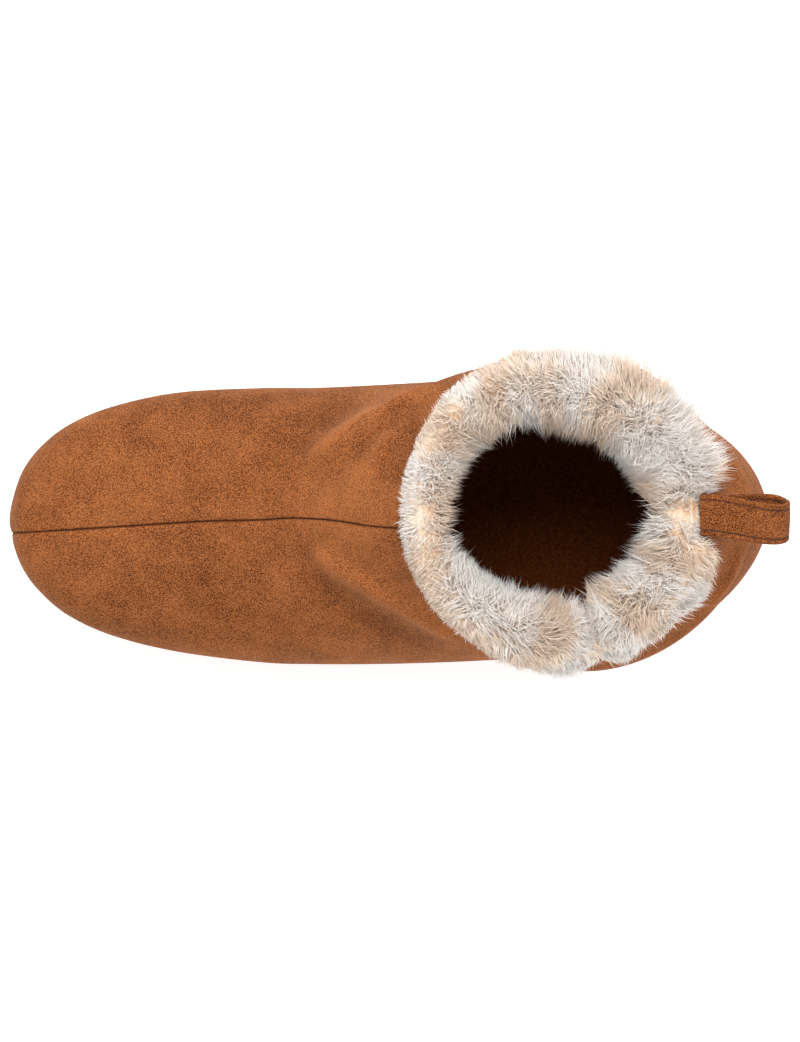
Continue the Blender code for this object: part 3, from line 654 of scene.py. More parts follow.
# The backing is painted darker than the hair, as shade deep in the pile, with random patches.
BACKING_SHADE_TONE = 0.54
BACKING_PATCH = 0.08
PATCH_LENGTH = 0.012
DRIFT = 1.3
DRIFT_LENGTH = 0.030
TAN_SHARE = 0.34
TAN_CONTRAST = 1.5
TAN_LENGTH = 0.018
TONE_SPREAD = 0.06
LENGTH_RANGE = (0.72, 1.15)
WIDTH_RANGE = (0.7, 1.2)
LENGTH_SWAY = 0.16
LEAN_SWAY = 0.9
LEAN_TURN = 0.9
FRONT_SHORT = 0.35
INNER_FROM = 7.3
INNER_OVER = 2.6
INNER_SHORT = 0.66
OUTER_EASE = 0.4
OUTER_OVER = 2.2
PARTING_PUSH = 1.1
PARTING_EDGE = 0.0015
PARTING_SPREAD = 1.6
PARTING_SHORT = 0.38
HAIR_TAPER = np.array([0.9, 1.0])
HAIR_PARTS = np.array([0, 0.55, 1.0])
HAIR_SAG = (0, 0, -0.22)
FRIZZ = 0.07
ROOT_DEPTH = 0.0008
# Hair tones at the root, the bend and the tip: the lower tone at the root is painted shade deep in the pile.
CREAM_AND_ROOT_SHADE_TONES = np.array([0.60, 0.92, 1.0])
TAN_TONES = np.array([0.10, 0.32, 0.62])

# How far the fur hangs over the rim outside, from 0 to 1, round the collar from the front by the inner side.
OVERHANG = rows_of(
    "around share",
    (0.0, 0.3), (0.05, 0.12), (0.1, 0.0), (0.19, 0.0), (0.25, 0.5), (0.31, 0.9), (0.37, 1.0), (0.44, 0.9),
    (0.5, 0.3), (0.6, 0.35), (0.67, 0.15), (0.7, 0.35), (0.75, 0.35), (0.79, 0.15), (0.86, 0.05), (0.93, 0.12),
    (1.0, 0.3),
)

# The section, as in the solid: outside as shares of FUR_FLAP, FUR_LINING and FUR_RISE with the loop's notch, then
# inside as shares of the pile, of FUR_RISE and of FUR_LINING.
FUR_OUTSIDE = rows_of(
    "out down up loop_in loop_up",
    (0.0, 0.0, 0.0, 0.0, 0.04), (0.0, 0.08, 0.0, 0.0, 0.14), (0.55, 0.1, 0.0, 0.02, 0.26),
    (1.0, 0.05, 0.0, 0.05, 0.4), (1.05, 0.0, 0.25, 0.1, 0.54), (0.6, 0.0, 0.78, 0.17, 0.7),
    (0.0, 0.0, 1.0, 0.26, 0.84),
)
FUR_INSIDE = rows_of(
    "inward up down",
    (0.34, 1.0, 0.0), (0.74, 0.62, 0.0), (1.0, 0.0, 0.04), (0.98, 0.0, 0.22), (0.7, 0.0, 0.48),
    (0.36, 0.0, 0.75), (0.13, 0.0, 1.0), (0.0, 0.0, 0.96), (0.0, 0.0, 0.55), (0.0, 0.0, 0.2), (0.0, 0.0, 0.0),
)
CREST = 6.6
HAIRY_FROM = 1.2
HAIRY_TO = 12.2

# Which way a hair's start and end go: out of the backing, over it by its lean, and aside by its sway or a parting.
HAIR_BENDS = rows_of(
    "out over sway parted",
    (0.85, 0.62, 0.22, 0.7), (0.22, 0.95, 0.42, 0.9),
)

# Joins of the fur strip and where the loop presses it, round the collar from the front by the inner side.
PARTINGS = rows_of(
    "around reach deep",
    (0.497, 0.0036, 0.0008), (0.716, 0.0042, 0.0012),
)


def overhang(around):
    return np.interp(around % 1, *np.array(OVERHANG).T)


def fur_section(column, share):
    """One closed section of the fur, from the rim down the outside, over the top and down the inside."""
    grid, normal, below = (part[:, column] for part in collar)

    def on_collar(out, depth, inward=0.0):
        point, direction = (sample(max(depth, 0), below, part) for part in (grid, normal))
        up = np.cross(direction, np.cross((0, 0, 1), direction))
        point += out * direction + max(-depth, 0) * up / np.linalg.norm(up)
        if not inward:
            return point
        centre = (rim.mean(axis=0) - point) * (1, 1, 0)
        return point + inward * centre / np.linalg.norm(centre)

    pile = FUR_PILE * (1 - (1 - FRONT_PILE) * math.exp(-(min(share, 1 - share) / FRONT_REACH) ** 2))
    pressed = 1 - (abs(share - 0.5) * collar_girth - LOOP_WIDTH / 2 - LOOP_NOTCH) / NOTCH_SLOPE
    lifted, folded = ease(2 * pressed), ease(2 * pressed - 1)
    held = HELD_FLAP + (1 - HELD_FLAP) * overhang(share)
    points = []
    for k, flap in enumerate(FUR_OUTSIDE):
        over = k * 0.1 * FIT_GAP + FIT_GAP
        out = FIT_GAP + FLAP_CLEAR + flap.out * FUR_FLAP * held
        depth = flap.down * FUR_LINING - flap.up * FUR_RISE
        depth = depth + lifted * (-over - flap.up * FUR_RISE - depth) if flap.down else min(depth, -FIT_GAP)
        out += folded * (-WALL - FIT_GAP - out)
        depth += folded * (-over - flap.loop_up * FUR_RISE - depth)
        points.append(on_collar(out, depth, folded * flap.loop_in * pile))
    for inside in FUR_INSIDE:
        clear = FIT_GAP + LINING_CLEAR * min(1, 4 * inside.down)
        depth = inside.down * FUR_LINING - inside.up * FUR_RISE
        depth = depth if any(inside) else min(depth, -FIT_GAP)
        points.append(on_collar(-WALL - clear, depth, inside.inward * pile))
    return np.array(points)


def waves(points, length, seed, count=14):
    """Smooth noise from -1 to 1 over points in space, whose bumps are about a length apart."""
    chance = np.random.default_rng(seed)
    turns = chance.normal(size=(count, points.shape[-1]))
    rates = 2 * math.pi / length * chance.uniform(0.6, 1.3, (count, 1))
    turns *= rates / np.linalg.norm(turns, axis=1, keepdims=True)
    swings = np.sin(points @ turns.T + chance.uniform(0, 2 * math.pi, count))
    return swings.sum(axis=-1) / math.sqrt(count) / 1.4


def aside_of(parting, around):
    """How far a place round the collar lies beside a parting, in metres."""
    return ((around - parting.around + 0.5) % 1 - 0.5) * collar_girth


fur_columns = (np.arange(BACKING_AROUND) / BACKING_AROUND * AROUND).astype(int)
collar = [part[FOOT_RINGS:, fur_columns][::-1] for part in (skin(), outward(skin()), depths(skin()))]
rim = collar[0][0]
collar_girth = np.linalg.norm(rim - np.roll(rim, 1, 0), axis=1).sum()
fur_around = fur_columns / AROUND
sections = np.array([fur_section(k, share) for k, share in enumerate(fur_around)])
corners = sections.shape[1]
closed_sections = np.concatenate([sections[:, -1:], sections, sections[:, :2]], axis=1)
step_places = np.linspace(0, corners, BACKING_STEPS, endpoint=False)
fur_form = np.stack([cubic(section, step_places) for section in closed_sections])
parted = sum(part.deep * bell(aside_of(part, fur_around), part.reach) for part in PARTINGS)
inward_way = fur_form.mean(axis=1, keepdims=True) - fur_form
hairy = ((step_places > HAIRY_FROM) & (step_places < HAIRY_TO))[None, :, None]
lumps = 1 + LUMP_DEPTH * waves(fur_form, LUMP_LENGTH, 3)[..., None]
risen = ease((step_places - SUNK_FROM) / SUNK_OVER)[None, :, None]
sunk = np.where(hairy, SUNK + (1 - SUNK) * risen, SUNK)
backing = fur_form + inward_way * (1 - BACKING_SHARE) * lumps * sunk
backing += unit(inward_way) * parted[:, None, None] * hairy
over_step, round_step = steps_over(backing, 1), steps_over(backing, 0)
fur_normal = unit(np.cross(over_step, round_step))
if (fur_normal * inward_way).sum() > 0:
    fur_normal = -fur_normal


def fur_material(name):
    """Soft cream fur, tan where the tone is low: the tan tips, and painted shade at the roots and on the backing."""
    material, tree, shader = new_material(name, (236, 229, 222), 0.75)
    ramp = tree.nodes.new("ShaderNodeValToRGB")
    stops = ramp.color_ramp.elements
    stops[0].position, stops[0].color = 0.0, linear((122, 76, 42))
    stops[1].position, stops[1].color = 1.0, linear((255, 250, 244))
    for position, shade in ((0.22, (190, 136, 88)), (0.45, (234, 198, 162)), (0.68, (251, 234, 216))):
        stops.new(position).color = linear(shade)
    set_inputs(ramp, {"Fac": marked(tree, "tone")})
    set_inputs(shader, {
        "Base Color": ramp.outputs["Color"],
        "Specular IOR Level": 0.25,
        "Sheen Weight": 0.25,
        "Sheen Roughness": 0.5,
        "Subsurface Weight": 0.4,
        "Subsurface Radius": (1.0, 0.8, 0.65),
        "Subsurface Scale": 0.002,
    })
    return material, tree, shader


cream_hair = fur_material("cream_hair")[0]
cream_backing, tree, shader = fur_material("cream_backing")
streaks = bumped(tree, noise(tree, 700), 0.8, 0.001)
set_inputs(shader, {"Sheen Weight": 0.0, "Specular IOR Level": 0.05, "Normal": streaks})


def tone_points(mesh, tones):
    layer = mesh.attributes.new("tone", "FLOAT", "POINT")
    layer.data.foreach_set("value", tones.ravel().astype(np.float32))


backing_mesh = bpy.data.meshes.new("fur_backing")
ids = np.arange(BACKING_AROUND * BACKING_STEPS).reshape(BACKING_AROUND, BACKING_STEPS)
next_ids = np.roll(ids, -1, 1)
quads = np.stack([ids, next_ids, np.roll(next_ids, -1, 0), np.roll(ids, -1, 0)], -1).reshape(-1, 4)
backing_mesh.from_pydata(place(backing).reshape(-1, 3).tolist(), [], quads.tolist())
# Painted shade on the backing, with random patches.
tone_points(backing_mesh, BACKING_SHADE_TONE + BACKING_PATCH * waves(backing, PATCH_LENGTH, 5))
bm = bmesh.new()
bm.from_mesh(backing_mesh)
bmesh.ops.recalc_face_normals(bm, faces=bm.faces)
bm.to_mesh(backing_mesh)
bm.free()
fur_backing = new_piece("fur_backing", backing_mesh, cream_backing)
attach(fur_backing, "root")
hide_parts("fur_collar")


def on_backing(grid, u, t):
    """Values of a grid on the backing at places round it (u) and over it (t), both from 0 to 1."""
    a, b = (u % 1) * BACKING_AROUND, t * BACKING_STEPS
    i, j = a.astype(int), b.astype(int)
    f, g = (a - i)[:, None], (b - j)[:, None]
    i, j = i % BACKING_AROUND, j % BACKING_STEPS
    n, m = (i + 1) % BACKING_AROUND, (j + 1) % BACKING_STEPS
    low, high = grid[i, j] * (1 - f) * (1 - g) + grid[n, j] * f * (1 - g), grid[i, m] * (1 - f) * g
    return low + high + grid[n, m] * f * g


def hair_roots(count):
    """Places spread evenly over the hairy part of the backing."""
    sides = np.cross(np.roll(backing, -1, 1) - backing, np.roll(backing, -1, 0) - backing)
    cells = np.linalg.norm(sides, axis=2) * hairy[..., 0]
    pick = chance.choice(cells.size, count, p=(cells / cells.sum()).ravel())
    u = (pick // BACKING_STEPS + chance.random(count)) / BACKING_AROUND
    t = (pick % BACKING_STEPS + chance.random(count)) / BACKING_STEPS
    return u, t


def hair_sway(u, t, spread):
    """How each hair differs: its lean over the fur, its length and its lean round the collar, which drifts."""
    sway = chance.normal(size=(len(u), 3)) * spread
    sway[:, 2] += DRIFT * waves(on_backing(backing, u, t), DRIFT_LENGTH, 8)
    return sway


def hair_lines(u, t, sway):
    """Root, bend and tip of hairs rooted at u, t, and the way out of the backing at their roots."""
    root = on_backing(backing, u, t)
    normal, over, across = (unit(on_backing(part, u, t)) for part in (fur_normal, over_way, round_way))
    place_over = t * corners
    lean = np.tanh((place_over - CREST + LEAN_SWAY * sway[:, 0]) * LEAN_TURN)[:, None]
    part_way = np.zeros(len(u))
    short = np.ones(len(u))
    for parting in PARTINGS:
        off = aside_of(parting, u)
        part_way += PARTING_PUSH * np.tanh(off / PARTING_EDGE) * bell(off, PARTING_SPREAD * parting.reach)
        short -= PARTING_SHORT * bell(off, parting.reach)
    front = bell(np.minimum(u % 1, 1 - u % 1), FRONT_REACH)
    inner = ease((place_over - INNER_FROM) / INNER_OVER)
    outer = ease((CREST + OUTER_EASE - place_over) / OUTER_OVER)
    size = HAIR_LENGTH * (1 - FRONT_SHORT * front) * (1 - INNER_SHORT * inner)
    size = size * (1 - (1 - HELD_HAIR) * outer * (1 - overhang(u)))
    size = size * short * (1 + LENGTH_SWAY * sway[:, 1])
    size = (size * chance.uniform(*LENGTH_RANGE, len(u)))[:, None]
    droop = (HELD_DROOP * outer * (1 - overhang(u)))[:, None] * np.array((0, 0, -1))
    start, end = (
        bend.out * normal + bend.over * lean * over
        + (bend.sway * sway[:, 2] + bend.parted * part_way)[:, None] * across
        for bend in HAIR_BENDS
    )
    start = unit(start + 0.5 * droop)
    end = unit(end + HAIR_SAG + droop + FRIZZ * chance.normal(size=root.shape))
    steps = HAIR_PARTS[:, None]
    way = start[:, None] * (steps - steps ** 2 / 2) + end[:, None] * steps ** 2 / 2
    line = root[:, None] + size[:, None] * way
    return line - ROOT_DEPTH * normal[:, None] * (steps == 0), normal


def hair_mesh(name, lines, sides, widths, tones):
    """One mesh of closed three-sided hairs, from the lines that they follow."""
    count = len(lines)
    along = unit(np.gradient(lines, axis=1))
    across = unit(np.cross(along, sides[:, None]))
    other = np.cross(along, across)
    turns = (np.array([0, 2, 4]) * math.pi / 3)[:, None]
    spread = np.cos(turns) * across[:, :2, None] + np.sin(turns) * other[:, :2, None]
    body = lines[:, :2, None] + spread * HAIR_TAPER[:, None, None] * widths[:, None, None, None] / 2
    verts = np.concatenate([body.reshape(count, 6, 3), lines[:, 2:]], axis=1)
    sides_of = [(k, (k + 1) % 3, 3 + (k + 1) % 3, 3 + k) for k in range(3)]
    ends_of = [(3 + k, 3 + (k + 1) % 3, 6) for k in range(3)] + [(2, 1, 0)]
    corners_of = np.concatenate([np.ravel(sides_of), np.ravel(ends_of)])
    loops = ((np.arange(count) * 7)[:, None] + corners_of).ravel()
    sizes = np.tile([4] * 3 + [3] * 4, count)
    mesh = bpy.data.meshes.new(name)
    mesh.vertices.add(count * 7)
    mesh.vertices.foreach_set("co", place(verts).ravel().astype(np.float32))
    mesh.loops.add(len(loops))
    mesh.loops.foreach_set("vertex_index", loops.astype(np.int32))
    mesh.polygons.add(len(sizes))
    mesh.polygons.foreach_set("loop_start", np.append(0, np.cumsum(sizes)[:-1]).astype(np.int32))
    mesh.update(calc_edges=True)
    mesh.validate()
    tone_points(mesh, np.concatenate([np.repeat(tones[:, :2], 3, 1), tones[:, 2:]], 1))
    return mesh


over_way, round_way = unit(over_step), unit(round_step)
over_size, round_size = (np.linalg.norm(step, axis=2, keepdims=True) / 2 for step in (over_step, round_step))
chance = np.random.default_rng(FUR_SEED)
tuft_u, tuft_t = hair_roots(TUFTS)
tuft_sway = hair_sway(tuft_u, tuft_t, (0.6, 1, 0.55))
tuft_lines, _ = hair_lines(tuft_u, tuft_t, tuft_sway)
owner = np.repeat(np.arange(TUFTS), HAIRS)
scatter = chance.normal(size=(len(owner), 2)) * TUFT_SPREAD
u = tuft_u[owner] + scatter[:, 0] / on_backing(round_size, tuft_u, tuft_t)[owner, 0] / BACKING_AROUND
t = tuft_t[owner] + scatter[:, 1] / on_backing(over_size, tuft_u, tuft_t)[owner, 0] / BACKING_STEPS
t = t.clip(HAIRY_FROM / corners, HAIRY_TO / corners)
lines, normals = hair_lines(u, t, tuft_sway[owner])
gather = TUFT_GATHER * np.array([0, 0.45, 1.0])[:, None]
lines += gather * (tuft_lines[owner] - lines)
loose_u, loose_t = hair_roots(LOOSE_HAIRS)
loose, loose_normals = hair_lines(loose_u, loose_t, hair_sway(loose_u, loose_t, (0.7, 1, 0.7)))
lines, normals = np.concatenate([lines, loose]), np.concatenate([normals, loose_normals])
roots = lines[:, 0]
turn = np.arctan2(roots[:, 1] - rim[:, 1].mean(), rim[:, 0].mean() - roots[:, 0])
tan = ease(TAN_SHARE + TAN_CONTRAST * waves(roots, TAN_LENGTH, 21) + TAN_LEAN * np.cos(turn - TAN_TURN))
shade = TONE_SPREAD * chance.normal(size=len(lines))
# Each hair's tone: painted shade at the root, random tone, and tan towards the tip.
tones = CREAM_AND_ROOT_SHADE_TONES + shade[:, None] - tan[:, None] * TAN_TONES
widths = HAIR_WIDTH * chance.uniform(*WIDTH_RANGE, len(lines))
for number, part in enumerate(np.array_split(np.argsort(turn), FUR_PIECES)):
    mesh = hair_mesh(f"fur_hairs_{number}", lines[part], normals[part], widths[part], tones[part].clip(0, 1))
    hairs = new_piece(f"fur_hairs_{number}", mesh, cream_hair)
    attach(hairs, "root")


# Pull loop
# A doubled band of the same suede, let into the rim at the back, flopped over backwards and rolled a little so that
# its slit shows on the inner side, and painted darker all over as shade. A row of dark topstitching runs along both
# edges of each layer, in grooves darkened with painted shade.
LOOP_THICKNESS = 0.0016
LOOP_REACH = 0.0260
LOOP_HEIGHT = 0.0125
LOOP_ROLL = math.radians(21)
LOOP_DRIFT = -0.10
# The pull loop is painted darker all over, as shade.
LOOP_PAINTED_SHADE = -0.55
LOOP_STEPS = 150
LOOP_EDGE = 18
STITCH_INSET = 0.0019
STITCH_PITCH = 0.0027
STITCH_LENGTH = 0.0021
THREAD = 0.00042
STITCH_GROOVE = 0.00034
STITCH_PROUD = 0.3
GROOVE_WIDTH = 0.001
GROOVE_SHARP = 0.0003
GROOVE_SHADE = 0.55
BAND_CROWN = 0.00012
BAND_FUZZ = 0.00009
FUZZ_LENGTH = 0.0016
LOOP_BAND = rows_of(
    "back up",
    (-0.1, 0.1), (0.11, 0.24), (0.5, 0.34), (0.86, 0.2), (0.985, -0.18), (0.84, -0.58), (0.52, -0.64),
    (0.27, -0.55), (0.155, -0.42), (0.115, -0.27),
)


def loop_frames():
    """Points along the middle of the band, with the ways across it and out of its face."""
    corners = np.array([(band.back * LOOP_REACH, band.up * LOOP_HEIGHT) for band in LOOP_BAND])
    corners = np.vstack([2 * corners[0] - corners[1], corners, 2 * corners[-1] - corners[-2]])
    path = cubic(corners, np.linspace(0, len(LOOP_BAND) - 1, LOOP_STEPS))
    roll = LOOP_ROLL * ease(path[:, 0] / LOOP_REACH)
    aside = LOOP_DRIFT * path[:, 0].clip(0) - path[:, 1] * np.sin(roll)
    middle = rim[BACKING_AROUND // 2] + np.stack([path[:, 0], aside, path[:, 1] * np.cos(roll)], 1)
    across = np.stack([0 * roll, np.cos(roll), np.sin(roll)], 1)
    along = unit(np.gradient(middle, axis=0))
    return middle, across, unit(np.cross(across, along))


middle, band_across, band_out = loop_frames()
edge_turns = np.linspace(0, math.pi, LOOP_EDGE)
groove_at = LOOP_WIDTH / 2 - STITCH_INSET
wide = (LOOP_WIDTH - LOOP_THICKNESS) / 2
half_thick = LOOP_THICKNESS / 2
grooves = [side * (groove_at + np.array([-0.5, -0.25, 0, 0.25, 0.5]) * GROOVE_WIDTH) for side in (-1, 1)]
flat = np.sort(np.concatenate([np.linspace(1, -1, 15)[1:-1] * wide, *grooves]))[::-1]
dip = STITCH_GROOVE * sum(bell(flat - side * groove_at, GROOVE_SHARP) for side in (-1, 1))
face = half_thick + BAND_CROWN * np.cos(flat / LOOP_WIDTH * math.pi) - dip
rounded, edge = half_thick * np.sin(edge_turns), half_thick * np.cos(edge_turns)
outline_across = np.concatenate([wide + rounded, flat, -wide - rounded, -flat])
outline_out = np.concatenate([-edge, face, edge, -face])
face_steps = outline_out[:, None] * band_out[:, None]
band_rings = middle[:, None] + outline_across[:, None] * band_across[:, None] + face_steps
band_rings = band_rings + BAND_FUZZ * waves(band_rings, FUZZ_LENGTH, 41)[..., None] * face_steps / half_thick
bm = bmesh.new()
# Painted shade in the grooves along the loop's stitches.
stitch_groove_shade = np.concatenate([np.zeros(LOOP_EDGE), dip, np.zeros(LOOP_EDGE), dip]) / STITCH_GROOVE * GROOVE_SHADE
# The loop's painted shade goes into the same mark as the upper's painted light and shade.
marks = {"seam_and_shade": np.tile(stitch_groove_shade, (LOOP_STEPS, 1)), "crease_and_shade": np.full(band_rings.shape[:2], LOOP_PAINTED_SHADE)}
band_rows = add_sheet(bm, place(band_rings), marks, 0, True)
for row in (band_rows[0], band_rows[-1]):
    bm.faces.new(row)
pull_loop = finished(bm, "pull_loop_band", suede)
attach(pull_loop, "root")
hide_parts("pull_loop")


def stitch_tree(thread_material):
    """Geometry Nodes that sew a row of short rounded stitches along edges."""
    tree = bpy.data.node_groups.new("topstitching", "GeometryNodeTree")
    tree.interface.new_socket("Seam", in_out="INPUT", socket_type="NodeSocketGeometry")
    for name in ("Pitch", "Stitch", "Thread"):
        tree.interface.new_socket(name, in_out="INPUT", socket_type="NodeSocketFloat")
    tree.interface.new_socket("Stitches", in_out="OUTPUT", socket_type="NodeSocketGeometry")
    given = tree.nodes.new("NodeGroupInput").outputs
    curve = add_node(tree, "GeometryNodeMeshToCurve", "Curve", {"Mesh": given["Seam"]})
    row = {"Curve": curve, "Length": given["Pitch"]}
    points = add_node(tree, "GeometryNodeCurveToPoints", "Points", row, mode="LENGTH")
    way = {"Vector": points.node.outputs["Tangent"]}
    size = {"X": given["Thread"], "Y": given["Thread"], "Z": given["Stitch"]}
    ball = {"Segments": 8, "Rings": 6, "Radius": 0.5}
    stitches = {
        "Points": points,
        "Instance": add_node(tree, "GeometryNodeMeshUVSphere", "Mesh", ball),
        "Rotation": add_node(tree, "FunctionNodeAlignRotationToVector", "Rotation", way, axis="Z"),
        "Scale": add_node(tree, "ShaderNodeCombineXYZ", "Vector", size),
    }
    sewn = add_node(tree, "GeometryNodeInstanceOnPoints", "Instances", stitches)
    real = add_node(tree, "GeometryNodeRealizeInstances", "Geometry", {"Geometry": sewn})
    paint = {"Geometry": real, "Material": thread_material}
    painted = add_node(tree, "GeometryNodeSetMaterial", "Geometry", paint)
    set_inputs(tree.nodes.new("NodeGroupOutput"), {"Stitches": painted})
    return tree


def sew(name, paths, sizes, thread_material):
    """A plain mesh of stitches along open paths of points, with the sizes that the nodes ask for."""
    mesh = bpy.data.meshes.new(name)
    ids = np.arange(paths.size // 3).reshape(paths.shape[:2])
    edges = np.stack([ids[:, :-1], ids[:, 1:]], -1).reshape(-1, 2)
    mesh.from_pydata(paths.reshape(-1, 3).tolist(), edges.tolist(), [])
    obj = new_object(name + "_rows", mesh)
    nodes = obj.modifiers.new("stitches", "NODES")
    nodes.node_group = stitch_tree(thread_material)
    for socket in nodes.node_group.interface.items_tree:
        if socket.item_type == "SOCKET" and socket.name in sizes:
            nodes[socket.identifier] = sizes[socket.name]
    sewn = bpy.data.meshes.new_from_object(obj.evaluated_get(bpy.context.evaluated_depsgraph_get()))
    bpy.data.objects.remove(obj)
    sewn.materials.clear()
    return new_piece(name, sewn, thread_material)


brown_thread, tree, shader = new_material("brown_thread", THREAD_AND_SHADE_BROWN, 0.7)
set_inputs(shader, {"Normal": bumped(tree, noise(tree, 2600), 1.0, 0.0001)})
stitch_lift = half_thick - STITCH_GROOVE + STITCH_PROUD * THREAD
stitch_rows = np.array([
    place(middle + side * groove_at * band_across + face * stitch_lift * band_out)[4:-2]
    for side in (-1, 1) for face in (-1, 1)
])
stitch_sizes = {"Pitch": STITCH_PITCH, "Stitch": STITCH_LENGTH, "Thread": THREAD}
loop_stitches = sew("loop_stitches", stitch_rows, stitch_sizes, brown_thread)
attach(loop_stitches, "root")


# Insole
# A foam footbed under brown plush, laid loose on the sole inside the lining. It rises softly in the middle and its
# edge is rolled under.
INSOLE_THICKNESS = 0.0045
INSOLE_CLEAR = 0.0010
INSOLE_CROWN = 0.0010
INSOLE_SHARES = np.linspace(0, 1, 25)[1:-1]
STATIONS = 120
OUTLINE_STEPS = 1200


def outline(level, inset):
    """Where the upper, a given inset inside its skin, meets a level surface: s, inner y and outer y."""
    grid = skin() - inset * outward(skin())
    above = grid[..., 2] - level(grid[..., 0])
    bottom = AROUND // 2

    def crossing(points, heights, k):
        share = heights[k] / (heights[k] - heights[k + 1])
        return points[k] + share * (points[k + 1] - points[k])

    sides = []
    for columns in (np.arange(bottom + 1), -np.arange(bottom + 1)):
        crossings = []
        for ring, heights in zip(grid[:, columns], above[:, columns]):
            under = np.nonzero((heights[:-1] >= 0) & (heights[1:] < 0))[0]
            if len(under):
                crossings.append(crossing(ring, heights, under[-1]))
        sides.append(np.array(crossings))
    low = above[:, bottom]
    turns = np.nonzero((low[:-1] >= 0) != (low[1:] >= 0))[0]
    toe, heel = (crossing(grid[:, bottom], low, k) for k in (turns[0], turns[-1]))
    s = toe[0] + (heel[0] - toe[0]) * (1 - np.cos(np.linspace(0, math.pi, STATIONS + 1))) / 2
    widths = []
    for side, other in (sides, sides[::-1]):
        path = np.vstack([other[:1], toe, side, heel, other[-1:]])
        path = cubic(path, np.linspace(0, len(path) - 3, OUTLINE_STEPS))
        path = path[np.argsort(path[:, 0], kind="stable")]
        widths.append(np.interp(s, path[:, 0], path[:, 1]))
    widths[1][[0, -1]] = widths[0][[0, -1]]
    return s, widths[0], widths[1]


def shifted_outline(s, medial, lateral, out):
    """The closed outline moved out along its own normals: the toe, the inner side, the heel, the outer side."""
    path = np.stack([np.append(s, s[-2:0:-1]), np.append(medial, lateral[-2:0:-1])], 1)
    normal = steps_over(path, 0)[:, ::-1] * (-1, 1)
    return path + out * normal / np.linalg.norm(normal, axis=1, keepdims=True)


def add_walls(bm, rows):
    for low, high in zip(rows, rows[1:]):
        for k in range(len(low)):
            n = (k + 1) % len(low)
            bm.faces.new((low[k], low[n], high[n], high[k]))


def close_over(bm, row, stations, shares, height):
    """Quads across a closed outline, from its toe to its heel, at a height for each s, y and share across."""
    lines = []
    for k in range(1, stations):
        first, last = np.array(row[k].co), np.array(row[-k].co)
        line = [row[k]]
        for share in shares:
            point = first + share * (last - first)
            point[2] = height(point[0] + LENGTH - HEEL_SEAT, point[1], share)
            line.append(bm.verts.new(point))
        lines.append(line + [row[-k]])
    for low, high in zip(lines, lines[1:]):
        for k in range(len(low) - 1):
            bm.faces.new((low[k], low[k + 1], high[k + 1], high[k]))
    for tip, line in ((row[0], lines[0]), (row[stations], lines[-1])):
        for a, b in zip(line, line[1:]):
            bm.faces.new((tip, a, b))


def insole_top(s, y, share):
    return sole_top(s) + FIT_GAP + INSOLE_THICKNESS + INSOLE_CROWN * (4 * share * (1 - share)) ** 0.5


INSOLE_ROLL = rows_of(
    "lift inset",
    (0.0, 0.18), (0.12, 0.04), (0.35, 0.0), (0.65, 0.0), (0.88, 0.08), (1.0, 0.3),
)
bm = bmesh.new()
rows = []
for roll in INSOLE_ROLL:
    lift = FIT_GAP + roll.lift * INSOLE_THICKNESS
    sides = outline(lambda s, lift=lift: sole_top(s) + lift, WALL + INSOLE_CLEAR)
    path = shifted_outline(*sides, -roll.inset * INSOLE_THICKNESS)
    ring = place(np.column_stack([path, sole_top(path[:, 0]) + lift]))
    rows.append([bm.verts.new(point) for point in ring])
add_walls(bm, rows)
close_over(bm, rows[0], STATIONS, INSOLE_SHARES, lambda s, y, share: sole_top(s) + FIT_GAP)
close_over(bm, rows[-1], STATIONS, INSOLE_SHARES, insole_top)
plush_insole = finished(bm, "plush_insole", brown_plush)
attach(plush_insole, "root")
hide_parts("insole")


# Outsole
# One moulded unit of matt brown rubber with a rib round its side and rounded bars under the ball and the heel, glued
# under the upper.
HEEL_LIFT = 0.0015
HEEL_LIFT_LENGTH = 0.014
ARCH_RISE = 0.0020
ARCH_MIDDLE = 0.55
ARCH_LENGTH = 0.070
RIB_DEPTH = 0.0009
TREAD_PITCH = 0.0090
TREAD_GROOVE = 0.0020
TREAD_DEPTH = 0.0016
TREAD_MARGIN = 0.0055
TREAD_FADE = 0.0008
GROOVE_SIDE = 0.00035
FOREFOOT_REST = 0.33
FOREFOOT_TREAD = (0.13, 0.43)
HEEL_TREAD = (0.70, 0.95)
TREAD_SHARES = (0.03, 0.055, 0.09, 0.13, 0.2, 0.3, 0.4, 0.5, 0.6, 0.7, 0.8, 0.87, 0.91, 0.945, 0.97)
SOLE_EDGE = rows_of(
    "height out",
    (0.0, -1.6), (0.05, -0.85), (0.12, -0.25), (0.2, 0.0), (0.39, 0.0), (0.42, -0.15), (0.46, -0.85),
    (0.49, -1.0), (0.55, -1.0), (0.58, -0.85), (0.62, -0.15), (0.65, 0.0), (0.84, 0.0), (0.93, -0.22),
    (0.98, -0.6), (1.0, -1.2),
)


def sole_bottom(s):
    toe = TOE_SPRING * np.clip(1 - s / TOE_SPRING_LENGTH, 0, 1) ** 2
    heel = HEEL_LIFT * np.clip((s - LENGTH + HEEL_LIFT_LENGTH) / HEEL_LIFT_LENGTH, 0, 1) ** 2
    arch = ARCH_RISE * np.clip(1 - ((s - ARCH_MIDDLE * LENGTH) * 2 / ARCH_LENGTH) ** 2, 0, 1)
    return toe + heel + arch


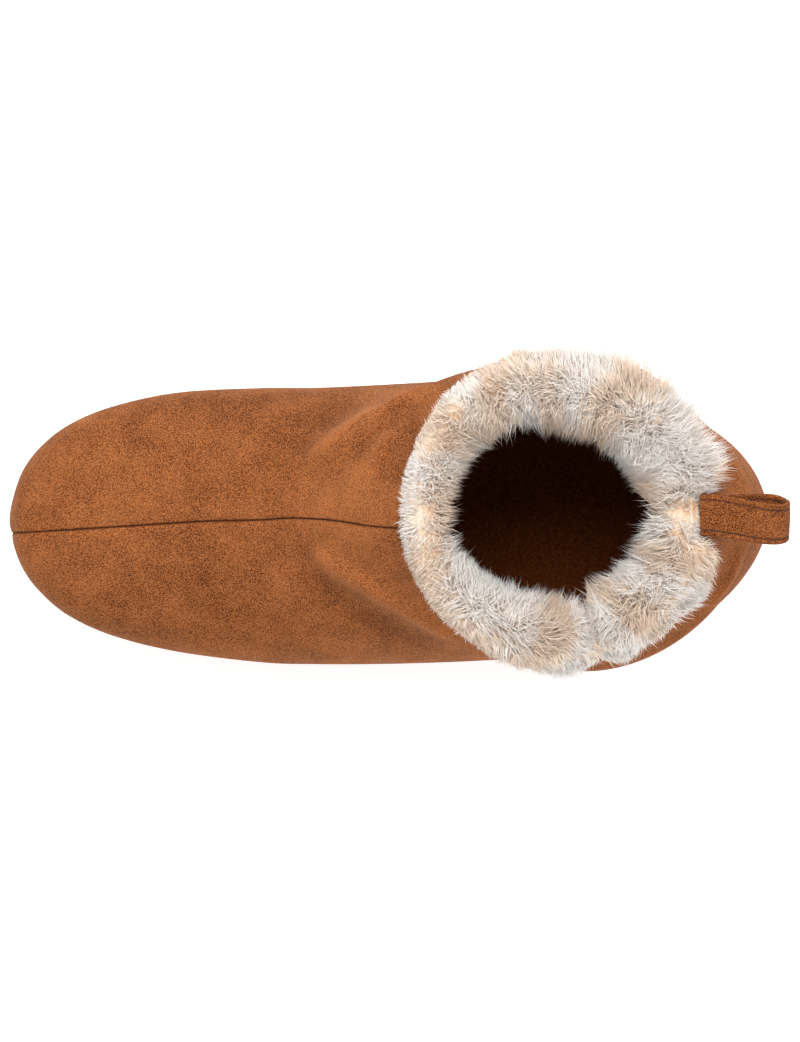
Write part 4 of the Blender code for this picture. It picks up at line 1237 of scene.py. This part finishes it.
groove_places = []
for rest, (first, last) in ((FOREFOOT_REST * LENGTH, FOREFOOT_TREAD), (LENGTH - HEEL_SEAT, HEEL_TREAD)):
    start = rest - TREAD_PITCH / 2
    start += TREAD_PITCH * math.ceil((first * LENGTH - start) / TREAD_PITCH)
    groove_places += list(np.arange(start, last * LENGTH, TREAD_PITCH))
groove_places = np.array(groove_places)
sole_s, sole_medial, sole_lateral = outline(sole_top, 0)
groove_offs = np.array([-0.5, -0.5, -0.25, 0, 0.25, 0.5, 0.5]) * TREAD_GROOVE
groove_offs += np.array([-1, 1, 0, 0, 0, -1, 1]) * GROOVE_SIDE / 2
wanted_s = np.sort(np.append(sole_s, (groove_places[:, None] + groove_offs).ravel()))
wanted = np.interp(wanted_s, sole_s, np.arange(STATIONS + 1))
sole_stations = len(wanted) - 1
rounds = np.append(wanted, 2 * STATIONS - wanted[-2:0:-1])


def tread_height(s, y, share):
    """The sole's bottom with the tread's grooves cut into it."""
    along = np.abs(s - groove_places).min()
    inner = np.interp(s, sole_s, sole_medial) - TREAD_MARGIN - y
    outer = y - np.interp(s, sole_s, sole_lateral) - TREAD_MARGIN
    side = ease((TREAD_GROOVE / 2 + GROOVE_SIDE / 2 - along) / GROOVE_SIDE)
    return sole_bottom(s) + TREAD_DEPTH * float(side * ease(min(inner, outer) / TREAD_FADE + 0.5))


bm = bmesh.new()
rows = []
for edge in SOLE_EDGE:
    path = shifted_outline(sole_s, sole_medial, sole_lateral, edge.out * RIB_DEPTH)
    path = sample(rounds, np.arange(len(path) + 1), np.vstack([path, path[:1]]))
    low, high = sole_bottom(path[:, 0]), sole_top(path[:, 0])
    ring = place(np.column_stack([path, low + edge.height * (high - low)]))
    rows.append([bm.verts.new(point) for point in ring])
add_walls(bm, rows)
close_over(bm, rows[0], sole_stations, TREAD_SHARES, tread_height)
close_over(bm, rows[-1], sole_stations, (0.5,), lambda s, y, share: sole_top(s))

brown_rubber, tree, shader = new_material("brown_rubber", (104, 66, 44), 0.62)
scuffs = noise(tree, 55)
scaled = adder("ShaderNodeMapRange", "Result", "Value", "To Min", "To Max")
set_inputs(shader, {
    "Base Color": mixed(tree, scuffs, linear((86, 53, 34)), linear((122, 80, 55))),
    "Roughness": scaled(tree, scuffs, 0.5, 0.8),
    "Normal": bumped(tree, noise(tree, 1300), 0.4, 0.0002),
    "Specular IOR Level": 0.4,
})
rubber_sole = finished(bm, "rubber_sole", brown_rubber)
rubber_sole.data.set_sharp_from_angle(angle=math.radians(40))
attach(rubber_sole, "root")
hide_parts("outsole")
